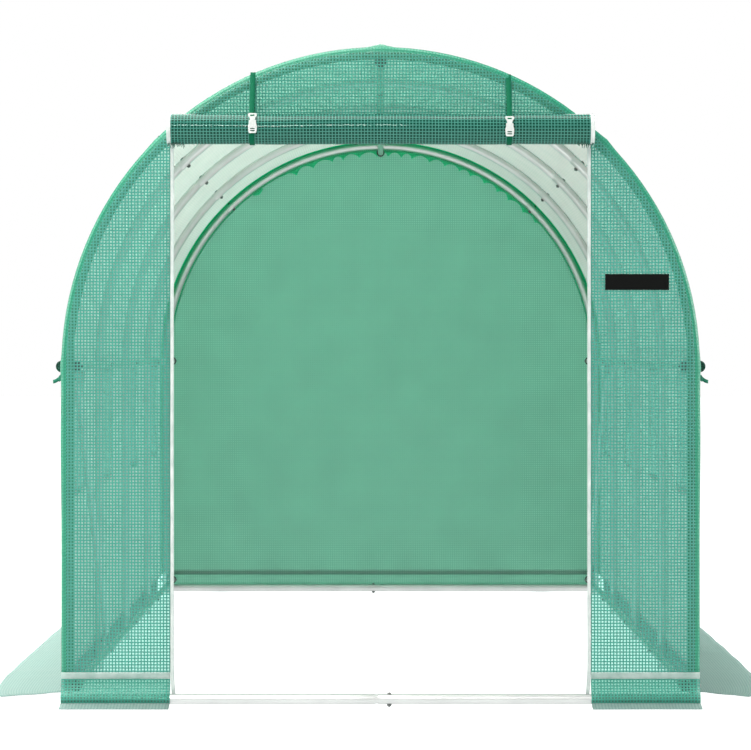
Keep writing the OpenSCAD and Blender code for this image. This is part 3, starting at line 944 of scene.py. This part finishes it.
SKIRT_ROWS, SKIRT_COLUMNS, WALL_ROWS = 22, 111, 5
for side, name in ((-1, "left"), (1, "right")):
    def skirt_at(i, j, side=side):
        y = -END_Y + 2 * END_Y * j / (SKIRT_COLUMNS - 1)
        reach = skirt_reach(side, y)
        start = COVER_R + 0.0012
        if i < WALL_ROWS:
            return side * (start + 0.0004 * i), y, HEM + 0.012 - (HEM - 0.010) * i / WALL_ROWS
        k = (i - WALL_ROWS) / (SKIRT_ROWS - WALL_ROWS - 1)
        x = start + 0.003 + (reach - start - 0.003) * k
        rise = 0.017 * (1 - k) ** 3
        wave = 0.5 + 0.5 * noise.noise(Vector((y * 2.6, x * 3.0, side * 4.0)))
        fold = 0.5 + 0.5 * noise.noise(Vector((y * 9.0, x * 2.0, side * 7.0)))
        free = min(1.0, 3 * (1 - k) + 0.15) * min(1.0, 4 * k + 0.1)
        return side * x, y, 0.0012 + rise + free * (0.010 * wave + 0.004 * fold)

    o = cloth(f"side_skirt_{name}", SKIRT_ROWS, SKIRT_COLUMNS, skirt_at,
              lambda i, j: (2 * END_Y * j / (SKIRT_COLUMNS - 1), i * 0.0175), skirt_cloth, 0.0010)
    # The fixed part up the wall, then as far out as the edge reaches at each station
    widths = [HEM + skirt_reach(side, -END_Y + 2 * END_Y * j / (SKIRT_COLUMNS - 1)) - COVER_R
              for j in range(SKIRT_COLUMNS)]
    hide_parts("side_skirts")

# Zip tapes: white woven tapes sewn down both sides of the doorway, each with a coil of nylon
# along its inner edge. They curve in slightly at the foot.
TAPE_WIDE = 0.0115
DOOR_HALF = tape_high[0] - TAPE_WIDE
# Woven polyester tape: white with a cool cast, opaque and close ribbed
tape_white = milky_weld_tape("woven_white_polyester_tape", "#c3d3cf", 0.0)
foot_z, head_z = tape_low[2] - 0.014, tape_high[2]
parts = []
coil_points = []
for side in (-1, 1):
    stations = [foot_z - 0.055, foot_z - 0.03] + [foot_z + (head_z - foot_z) * k / 40 for k in range(41)]
    verts, faces, uvs = [], [], []
    for z in stations:
        curl = 0.010 * max(0.0, (0.14 - z) / 0.14) ** 2
        wob = 0.0009 * noise.noise(Vector((z * 3.0, side, 0.0)))
        for dx, dy in ((-0.0055, 0), (-0.0035, -0.0006), (0.0035, -0.0006), (0.0055, 0), (0.0035, 0.0006),
                       (-0.0035, 0.0006)):
            x = side * (DOOR_HALF + 0.006 + dx - curl + wob)
            verts.append((x, FRONT_WALL - 0.0022 + dy, z))
            uvs.append((dx, z))
        coil_points.append((side * (DOOR_HALF + 0.0012 - curl + wob), FRONT_WALL - 0.0028, z))
    for k in range(len(stations) - 1):
        for n in range(6):
            q = (n + 1) % 6
            f = (k * 6 + n, (k + 1) * 6 + n, (k + 1) * 6 + q, k * 6 + q)
            faces.append(f if side > 0 else f[::-1])
    for base, turned in ((0, False), ((len(stations) - 1) * 6, True)):
        f = tuple(base + n for n in range(6))
        faces.append(f[::-1] if turned != (side > 0) else f)
    parts.append((verts, faces, uvs))


def outward(o):
    """Turns every face of a piece outwards."""
    bm = bmesh.new()
    bm.from_mesh(o.data)
    bmesh.ops.recalc_face_normals(bm, faces=bm.faces)
    bm.to_mesh(o.data)
    bm.free()


outward(stand_in("zip_tapes", join(parts), tape_white, "zip_tape", "door_zip_tapes"))

coil_mesh = bpy.data.meshes.new("zip_coil_paths")
per_side = len(coil_points) // 2
coil_mesh.from_pydata(coil_points, [(k, k + 1) for s in (0, per_side) for k in range(s, s + per_side - 1)],
                      [])


def coil_tree():
    """Sets one small rounded coil turn at even steps along each path."""
    t, given = new_tree("zip_coil", "Pitch", "Turn Width")
    curve = add(t, "GeometryNodeMeshToCurve", {"Mesh": given.outputs["Geometry"]})
    even = add(t, "GeometryNodeResampleCurve", {"Curve": curve.outputs[0], "Length": given.outputs["Pitch"]},
               mode="LENGTH")
    turn = add(t, "GeometryNodeMeshIcoSphere", {"Radius": 0.5, "Subdivisions": 1})
    size = add(t, "ShaderNodeCombineXYZ", {"X": given.outputs["Turn Width"], "Y": 0.0022, "Z": 0.0021})
    placed = add(t, "GeometryNodeInstanceOnPoints", {"Points": even.outputs[0], "Instance": turn.outputs[0],
                                                     "Scale": size.outputs[0]})
    return end_tree(t, given, placed.outputs[0])


nylon = tape_white.copy()
nylon.name = "white_nylon_zip_coil"
o = grow("zip_coils", coil_mesh, coil_tree(), {"Pitch": 0.0026, "Turn Width": 0.0034, "Finish": nylon})

# Rolled-up door: the door sheet wound up from its foot into one loose roll of about seven turns.
# Its two edges carry the other halves of the white zip tapes, whose ends fray a little.
roll_low, roll_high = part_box("door_roll")
ROLL_Y, ROLL_Z = (roll_low[1] + roll_high[1]) / 2, (roll_low[2] + roll_high[2]) / 2
ROLL_R, ROLL_HALF = (roll_high[2] - roll_low[2]) / 2, roll_high[0]
ROLL_CORE, ROLL_TURNS = 0.031, 6.8
# Many layers of the door's cloth on one another: deep green cells, and a glossy line where it is tight
door_cloth = reinforced_sheet("laminated_scrim_rolled_door", "#448578", "#003a2c", 0.0, 0.02, 0.2,
                              (0.27, 0.12), shine=0.0, coat=0.35)
roll_sides = 44
roll_steps = int(ROLL_TURNS * roll_sides)


def wound(core, outer, sides, steps):
    """The length wound up by each step of a roll, from its core out."""
    arc = [0.0]
    for k in range(steps):
        arc.append(arc[-1] + 2 * math.pi / sides * (core + (outer - core) * k / steps))
    return arc


roll_arc = wound(ROLL_CORE, ROLL_R, roll_sides, roll_steps)
BUCKLE_HALF = 0.015
strap_x = -(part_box("strap_buckles")[0][0] + BUCKLE_HALF)
roll_columns = [-ROLL_HALF, -ROLL_HALF + 0.006, -ROLL_HALF + 0.0125]
roll_columns += [-ROLL_HALF + 0.0125 + (2 * ROLL_HALF - 0.025) * k / 44 for k in range(1, 44)]
roll_columns += [ROLL_HALF - 0.0125, ROLL_HALF - 0.006, ROLL_HALF]


def roll_at(i, j):
    """i goes along the wound length from the core out, and j across the door's width."""
    x = roll_columns[j]
    turn = 2 * math.pi * i / roll_sides
    outer = i / roll_steps
    r = ROLL_CORE + (ROLL_R - 0.0004 - ROLL_CORE) * outer
    slack = noise.noise(Vector((x * 5.0, math.cos(turn) * 0.9, math.sin(turn) * 0.9 + outer)))
    pinch = near(abs(x) - strap_x, 0.03)
    r += (0.0011 * slack - 0.0012 * pinch) * outer
    if abs(x) < strap_x:
        sag = 0.0016 * (1 - math.cos(math.pi * x / strap_x)) / 2
    else:
        sag = 0.002 * (abs(x) - strap_x)
    a = math.radians(100) - turn + 2 * math.pi * ROLL_TURNS
    return x, ROLL_Y - r * math.cos(a), ROLL_Z - sag + r * math.sin(a)


verts, faces, uvs, slots = [], [], [], []
for i in range(roll_steps + 1):
    for j in range(len(roll_columns)):
        verts.append(roll_at(i, j))
        uvs.append((roll_columns[j], roll_arc[i]))
for i in range(roll_steps):
    for j in range(len(roll_columns) - 1):
        n = len(roll_columns)
        faces.append((i * n + j, i * n + j + 1, (i + 1) * n + j + 1, (i + 1) * n + j))
        slots.append(0 if 1 < j < n - 3 else 1)
door = put("rolled_door", verts, faces, [door_cloth, tape_white], uvs, slots=slots)
wall = door.modifiers.new("thickness", "SOLIDIFY")
wall.thickness, wall.offset = 0.0007, 0.0
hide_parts("door_roll")

# Frayed yarn ends under both ends of the roll, where the tape stops: short dark tufts.
fray = random.Random(5)
tufts = []
for side in (-1, 1):
    for n in range(16):
        x = side * (0.612 + 0.0033 * n)
        drop = fray.uniform(0.006, 0.017)
        lean = fray.uniform(-0.004, 0.004)
        y = ROLL_Y - 0.018 + fray.uniform(-0.006, 0.012)
        top = Vector((x, y, ROLL_Z - ROLL_R + 0.0035))

        def yarn(s, top=top, drop=drop, lean=lean):
            k = s / drop
            way = Vector((2 * lean * k / drop, 0.003 / drop, -1)).normalized()
            return top + Vector((lean * k * k, 0.003 * k, -s)), way

        tufts.append(sweep(yarn, [(drop * k / 4, 0.0016 * (1 - 0.16 * k)) for k in range(5)], (0, 1, 0), 6))


def woven_webbing(name, low, high, ribs=900.0):
    """Woven polypropylene webbing: ribbed across, with the fine slant of a twill and a soft shine."""
    m, t = new_material(name)
    at = add(t, "ShaderNodeTexCoord")
    # Ribs about 1.3 mm apart along the strap, coarser than the real 0.8 mm so that they show
    rib = add(t, "ShaderNodeTexWave",
              {"Vector": at.outputs["UV"], "Scale": ribs / 7, "Distortion": 0.4, "Detail": 1.0},
              bands_direction="Y")
    slant = add(t, "ShaderNodeTexWave", {"Vector": at.outputs["UV"], "Scale": ribs / 5},
                bands_direction="DIAGONAL")
    weave = add(t, "ShaderNodeMix", {0: 0.4, 2: rib.outputs[1], 3: slant.outputs[1]}, data_type="FLOAT")
    tone = add(t, "ShaderNodeMix", {0: weave.outputs[0], 6: linear(low), 7: linear(high)}, data_type="RGBA")
    bump = add(t, "ShaderNodeBump", {"Strength": 0.5, "Distance": 0.0004, "Height": weave.outputs[0]})
    s = add(t, "ShaderNodeBsdfPrincipled", {"Base Color": tone.outputs[2], "Roughness": 0.62,
                                            "Specular IOR Level": 0.06, "Normal": bump.outputs[0]})
    add(t, "ShaderNodeOutputMaterial", {"Surface": s.outputs[0]})
    return m


stand_in("roll_end_fray", join(tufts), woven_webbing("frayed_scrim_yarn", "#2c4a41", "#587a6e"),
         "rolled_mesh")

# Door straps: two loops of green webbing sewn to the top of the arch. Each runs down in front of
# the roll, under it and back up behind it, and is closed on the front by a buckle.
buckle_low, buckle_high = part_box("strap_buckles")
STRAP_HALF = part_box("door_straps")[1][0] - strap_x
RING = ROLL_R + 0.0013
straps = []
for side, rise in ((-1, 0.000), (1, -0.006)):
    crest = Vector((FRONT, arch_height(strap_x, COVER_R + 0.0035) + rise))
    anchor = Vector((FRONT - 0.016, arch_height(strap_x, COVER_R - 0.0060) + rise))
    centre = Vector((ROLL_Y, ROLL_Z))
    to = anchor - centre
    lean, half = math.atan2(to.y, to.x), math.acos(RING / to.length)
    first, last = lean + half, lean - half + 2 * math.pi
    points = [crest + Vector((0.012, -0.001)), crest, (crest + anchor) / 2 + Vector((-0.003, 0.0035))]
    points += [anchor.lerp(centre + Vector((math.cos(first), math.sin(first))) * RING, k / 10)
               for k in range(10)]
    points += [centre + Vector((math.cos(first + (last - first) * k / 60),
                                math.sin(first + (last - first) * k / 60))) * RING
               for k in range(61)]
    end = points[-1]
    points += [end.lerp(anchor + Vector((0.0016, 0)), k / 8) for k in range(1, 9)]
    verts, uvs, run = [], [], 0.0
    for k, p in enumerate(points):
        q, b = points[min(k + 1, len(points) - 1)], points[max(k - 1, 0)]
        run += (p - b).length if k else 0.0
        d = (q - b).normalized()
        n = Vector((d.y, -d.x))
        x0 = side * strap_x + 0.0007 * noise.noise(Vector((run * 9.0, side, 2.0)))
        for dx, dn in ((-1.0, 0), (-0.92, 0.0008), (0.92, 0.0008), (1.0, 0), (0.92, -0.0008),
                       (-0.92, -0.0008)):
            verts.append((x0 + STRAP_HALF * dx, p.x + n.x * dn, p.y + n.y * dn))
            uvs.append((STRAP_HALF * dx, run))
    straps.append((verts, skin(len(points), 6), uvs))
strap_webbing = woven_webbing("woven_polypropylene_webbing_green", "#02452f", "#086b4b")
outward(stand_in("roll_straps", join(straps), strap_webbing, "webbing", "door_straps"))

# Buckles: white side-release buckles, moulded in acetal. Each has a waisted body with a slot at
# its head and two at its foot, and two springy arms that show at its sides.
OUTLINE = ((10, 31), (13.5, 29), (14, 24), (9.5, 18), (7.8, 12), (8.2, 6), (12.5, -4), (13.8, -10),
           (13.2, -18), (12.5, -26), (10.5, -31))
SLOTS = ((24, 7, 2.3), (-17, 7.5, 1.8), (-23.5, 7.5, 1.8))


def white_acetal():
    """Moulded acetal: bright white, dense, smooth and softly shiny, with a trace of flow lines."""
    m, t = new_material("moulded_white_acetal")
    at = add(t, "ShaderNodeTexCoord")
    flow = add(t, "ShaderNodeTexNoise", {"Vector": at.outputs["Object"], "Scale": 120.0, "Detail": 3.0})
    tone = add(t, "ShaderNodeMix", {0: flow.outputs[0], 6: linear("#c4cac7"), 7: linear("#d9dddb")},
               data_type="RGBA")
    rough = add(t, "ShaderNodeMapRange", {0: flow.outputs[0], 3: 0.26, 4: 0.38})
    bump = add(t, "ShaderNodeBump", {"Strength": 0.15, "Distance": 0.0002, "Height": flow.outputs[0]})
    s = add(t, "ShaderNodeBsdfPrincipled", {"Base Color": tone.outputs[2], "Roughness": rough.outputs[0],
                                            "Normal": bump.outputs[0], "Subsurface Weight": 0.08,
                                            "Subsurface Radius": (0.002, 0.002, 0.002)})
    add(t, "ShaderNodeOutputMaterial", {"Surface": s.outputs[0]})
    return m


def plate(name, outline, holes, thick, bevel):
    """A moulded plate of that outline in mm, lying in X and Z, with rounded slots and edges."""
    curve = bpy.data.curves.new(name, "CURVE")
    curve.dimensions, curve.fill_mode = "2D", "BOTH"
    curve.extrude, curve.offset = thick / 2 - bevel, -bevel
    curve.bevel_depth, curve.bevel_resolution = bevel, 2
    rims = [list(outline) + [(-x, z) for x, z in reversed(outline)]]
    for z, half, tall in holes:
        rims.append([((half - tall) * sx + tall * math.cos(a), z + tall * math.sin(a))
                     for sx, start in ((1, -90), (-1, 90))
                     for a in [math.radians(start + 30 * k) for k in range(7)]])
    for rim in rims:
        spline = curve.splines.new("POLY")
        spline.points.add(len(rim) - 1)
        for p, (x, z) in zip(spline.points, rim):
            p.co = (x, z, 0, 1)
        spline.use_cyclic_u = True
    o = bpy.data.objects.new(name, curve)
    scene.collection.objects.link(o)
    graph = bpy.context.evaluated_depsgraph_get()
    mesh = bpy.data.meshes.new_from_object(o.evaluated_get(graph), depsgraph=graph)
    bpy.data.objects.remove(o)
    return mesh


acetal = white_acetal()
BUCKLE_Y = (buckle_low[1] + buckle_high[1]) / 2
mid_z = (buckle_low[2] + buckle_high[2]) / 2
LEFT_SHIFT = 0.003
for side in (-1, 1):
    bm = bmesh.new()
    rib = ((3.2, 11), (3.6, 8), (3.6, -8), (3.2, -11))
    arm = ((2.3, 9), (2.6, 6), (2.6, -8), (2.0, -11))
    for name, outline, holes, thick, bevel, dx, dy in (
            ("body", OUTLINE, SLOTS, 5.0, 0.7, 0.0, 0.0), ("rib", rib, (), 3.0, 0.6, 0.0, -2.8),
            ("arm", arm, (), 6.0, 0.6, 8.6, -0.8), ("arm", arm, (), 6.0, 0.6, -8.6, -0.8)):
        mesh = plate(name, outline, holes, thick, bevel)
        for v in mesh.vertices:
            x, z, y = v.co
            v.co = (side * strap_x + (LEFT_SHIFT if side < 0 else 0.0) + (x + dx) / 1000,
                    BUCKLE_Y + (y + dy) / 1000, mid_z - 0.005 * side + z / 1000)
        bm.from_mesh(mesh)
        bpy.data.meshes.remove(mesh)
    bmesh.ops.remove_doubles(bm, verts=bm.verts, dist=0.00001)
    bmesh.ops.recalc_face_normals(bm, faces=bm.faces)
    mesh = bpy.data.meshes.new("buckle")
    bm.to_mesh(mesh)
    bm.free()
    mesh.materials.clear()
    mesh.materials.append(acetal)
    o = bpy.data.objects.new(f"strap_buckle_{'left' if side < 0 else 'right'}", mesh)
    scene.collection.objects.link(o)
    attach(o, "root")
    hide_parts("strap_buckles")

# Windows: eight openings in the side walls, each with a fine insect screen welded in behind a
# green border, and a flap of cover cloth rolled up over it and held by two ties.
flap_low, flap_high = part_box("window_flap_rolls")


def insect_screen():
    """Knitted polyethylene screen: pale green, fine holes, drawn 2.4 mm apart, coarser than the
    real 1.2 mm so that they show."""
    m, t = new_material("knitted_polyethylene_insect_screen")
    at = add(t, "ShaderNodeTexCoord")
    axes = add(t, "ShaderNodeSeparateXYZ", {0: at.outputs["UV"]})
    grids = []
    for axis in ("X", "Y"):
        fold = add(t, "ShaderNodeMath", {0: axes.outputs[axis], 1: 0.0012}, operation="PINGPONG")
        grids.append(add(t, "ShaderNodeMapRange",
                         {0: fold.outputs[0], 1: 0.0003, 2: 0.0006, 3: 1.0, 4: 0.0}).outputs[0])
    yarns = add(t, "ShaderNodeMath", {0: grids[0], 1: grids[1]}, operation="MAXIMUM")
    tone = add(t, "ShaderNodeMix", {0: yarns.outputs[0], 6: linear("#dce9e4"), 7: linear("#9fc4b8")},
               data_type="RGBA")
    bump = add(t, "ShaderNodeBump", {"Strength": 0.4, "Distance": 0.0003, "Height": yarns.outputs[0]})
    face = add(t, "ShaderNodeBsdfPrincipled",
               {"Base Color": tone.outputs[2], "Roughness": 0.6, "Normal": bump.outputs[0]})
    hole = add(t, "ShaderNodeBsdfTransparent", {"Color": linear("#ffffff")})
    solid = add(t, "ShaderNodeMapRange", {0: yarns.outputs[0], 3: 0.25, 4: 0.95})
    see = add(t, "ShaderNodeMixShader", {0: solid.outputs[0], 1: hole.outputs[0], 2: face.outputs[0]})
    add(t, "ShaderNodeOutputMaterial", {"Surface": see.outputs[0]})
    return m


screen_finish = insect_screen()
border_cloth = reinforced_sheet("laminated_scrim_window_border", "#3f9c82", "#5db49b", 0.0, 0.3)
flap_cloth = reinforced_sheet("laminated_scrim_rolled_flap", "#478875", "#0a4032", 0.0, 0.15, 0.32)
flap_r = (flap_high[2] - flap_low[2]) / 2
flap_z = (flap_high[2] + flap_low[2]) / 2 + 0.008
flap_half = flap_high[1] - windows_y[-1]
FLAP_CORE, FLAP_TURNS, FLAP_SIDES = 0.005, 5.1, 24
flap_arc = wound(FLAP_CORE, flap_r, FLAP_SIDES, int(FLAP_TURNS * FLAP_SIDES))
# A border is one band round this square of corners, narrower along the window's top
BAND, TOP_BAND = 0.022, 0.016
ring = [(-1, -1), (1, -1), (1, 1), (-1, 1)]
corners = []
for a, b in zip(ring, ring[1:] + ring[:1]):
    corners += [(a[0] + (b[0] - a[0]) * k / 10, a[1] + (b[1] - a[1]) * k / 10) for k in range(10)]
corners.append(corners[0])
ties = []
for side, word in ((-1, "left"), (1, "right")):
    flap_x = side * (flap_high[0] - flap_r + 0.011)
    for n, y0 in enumerate(windows_y, 1):
        wide, tall = 2 * WINDOW_HALF + 0.012, WINDOW[1] - WINDOW[0] + 0.012

        def screen_at(i, j, side=side, y0=y0, wide=wide, tall=tall):
            y, z = y0 - wide / 2 + wide * j / 20, WINDOW[0] - 0.006 + tall * i / 18
            slack = math.sin(math.pi * i / 18) * math.sin(math.pi * j / 20)
            return side * (COVER_R + cover_off(z - SPRING, None, y) - 0.0018 + 0.003 * slack), y, z

        o = cloth(f"window_screen_{word}_{n}", 19, 21, screen_at,
                  lambda i, j, wide=wide, tall=tall: (wide * j / 20, tall * i / 18), screen_finish, 0.0004)
        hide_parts("window_screens")

        def border_at(i, j, side=side, y0=y0):
            sy, sz = corners[j]
            y = y0 + sy * (WINDOW_HALF - 0.002 + BAND * i / 2)
            band = BAND if sz < 0.99 else TOP_BAND
            z = (WINDOW[0] + WINDOW[1]) / 2 + sz * ((WINDOW[1] - WINDOW[0]) / 2 - 0.002 + band * i / 2)
            return side * (COVER_R + cover_off(z - SPRING, None, y) + 0.0012), y, z

        o = cloth(f"window_border_{word}_{n}", 3, 41, border_at,
                  lambda i, j, b=border_at: (b(i, j)[1], b(i, j)[2]), border_cloth, 0.0007)

        def flap_at(i, j, side=side, y0=y0, flap_x=flap_x):
            y = y0 - flap_half + 2 * flap_half * j / 14
            turn = 2 * math.pi * i / FLAP_SIDES
            outer = i / (len(flap_arc) - 1)
            r = FLAP_CORE + (flap_r - FLAP_CORE) * outer
            r += 0.0009 * noise.noise(Vector((y * 9.0, math.cos(turn), math.sin(turn) + side))) * outer
            a = math.radians(180 if side > 0 else 0) - side * (turn - 2 * math.pi * FLAP_TURNS)
            return flap_x + r * math.cos(a), y, flap_z + r * math.sin(a)

        o = cloth(f"window_flap_{word}_{n}", len(flap_arc), 15, flap_at,
                  lambda i, j: (2 * flap_half * j / 14, flap_arc[i]), flap_cloth, 0.0006)
        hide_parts("window_flap_rolls")

        for tie_y in (-0.13, 0.13):
            y = y0 + tie_y
            outer_r = flap_r + 0.0011
            loop = [Vector((flap_x + outer_r * math.cos(math.radians(a)), y,
                            flap_z + outer_r * math.sin(math.radians(a))))
                    for a in range(-90, 271, 12)]
            low = loop[0]
            tail_out = [low + Vector((side * 0.0055 * k, 0.0024 * k, -0.0078 * k + 0.0005 * k * k))
                        for k in range(1, 8)]
            tail_in = [low + Vector((side * (0.0060 * k - 0.0007 * k * k), -0.0026 * k, -0.0045 * k))
                       for k in range(1, 7)]
            for line in (loop, [low] + tail_out, [low] + tail_in):
                ties.append((line, side))

ribbons = []
for line, side in ties:
    verts, uvs, run = [], [], 0.0
    for k, p in enumerate(line):
        q, b = line[min(k + 1, len(line) - 1)], line[max(k - 1, 0)]
        run += (p - b).length if k else 0.0
        d = (q - b).normalized()
        n = d.cross(Vector((0, 1, 0))).normalized()
        w = n.cross(d).normalized()
        if len(line) < 20:
            twist = side * math.radians(70) * min(1.0, run / 0.02)
            n, w = n * math.cos(twist) - w * math.sin(twist), w * math.cos(twist) + n * math.sin(twist)
        for dw, dn in ((-0.006, 0.0006), (0.006, 0.0006), (0.006, -0.0006), (-0.006, -0.0006)):
            verts.append(p + w * dw + n * dn)
            uvs.append((dw, run))
    ribbons.append((verts, skin(len(line), 4), uvs))
tie_webbing = woven_webbing("woven_polyester_tie_ribbon", "#14503f", "#2c8067")
outward(stand_in("window_tie_ribbons", join(ribbons), tie_webbing, "webbing", "window_ties"))

# Sewn patch: a plain dark patch of coated cloth on the front wall, blank, with a stitched rim.
# Its middle across and up, and half its width and height
PATCH = (0.803, 1.329, 0.100, 0.025)
patch_cloth = woven_webbing("coated_dark_patch_cloth", "#080909", "#121413", 2600.0)


def patch_at(i, j):
    """Where the patch lies: row i runs up, and column j across."""
    x, z = PATCH[0] - PATCH[2] + 2 * PATCH[2] * j / 24, PATCH[1] - PATCH[3] + 2 * PATCH[3] * i / 8
    return x, FRONT_WALL - 0.0046 + 0.0006 * (abs(j - 12) / 12) ** 6, z


o = cloth("blank_patch", 9, 25, patch_at, lambda i, j: (patch_at(i, j)[0], patch_at(i, j)[2]), patch_cloth,
          0.0010)

seam = bpy.data.meshes.new("patch_seam")
w, h = PATCH[2] - 0.003, PATCH[3] - 0.003
seam_points = [(PATCH[0] + sx * w, FRONT_WALL - 0.0054, PATCH[1] + sz * h)
               for sx, sz in ring]
seam.from_pydata(seam_points, [(0, 1), (1, 2), (2, 3), (3, 0)], [])


def stitch_tree():
    """Lays short rounded stitches end to end along each path."""
    t, given = new_tree("stitches", "Pitch", "Stitch Length", "Thread")
    curve = add(t, "GeometryNodeMeshToCurve", {"Mesh": given.outputs["Geometry"]})
    even = add(t, "GeometryNodeResampleCurve", {"Curve": curve.outputs[0], "Length": given.outputs["Pitch"]},
               mode="LENGTH")
    way = add(t, "GeometryNodeInputTangent")
    turned = add(t, "FunctionNodeAlignRotationToVector", {"Vector": way.outputs[0]}, axis="Z")
    ball = add(t, "GeometryNodeMeshIcoSphere", {"Radius": 0.5, "Subdivisions": 2})
    size = add(t, "ShaderNodeCombineXYZ", {"X": given.outputs["Thread"], "Y": given.outputs["Thread"],
                                           "Z": given.outputs["Stitch Length"]})
    placed = add(t, "GeometryNodeInstanceOnPoints", {"Points": even.outputs[0], "Instance": ball.outputs[0],
                                                     "Rotation": turned.outputs[0], "Scale": size.outputs[0]})
    return end_tree(t, given, placed.outputs[0])


black_thread = woven_webbing("black_polyester_thread", "#202322", "#343836")
o = grow("patch_stitches", seam, stitch_tree(),
         {"Pitch": 0.0040, "Stitch Length": 0.0030, "Thread": 0.0009, "Finish": black_thread})
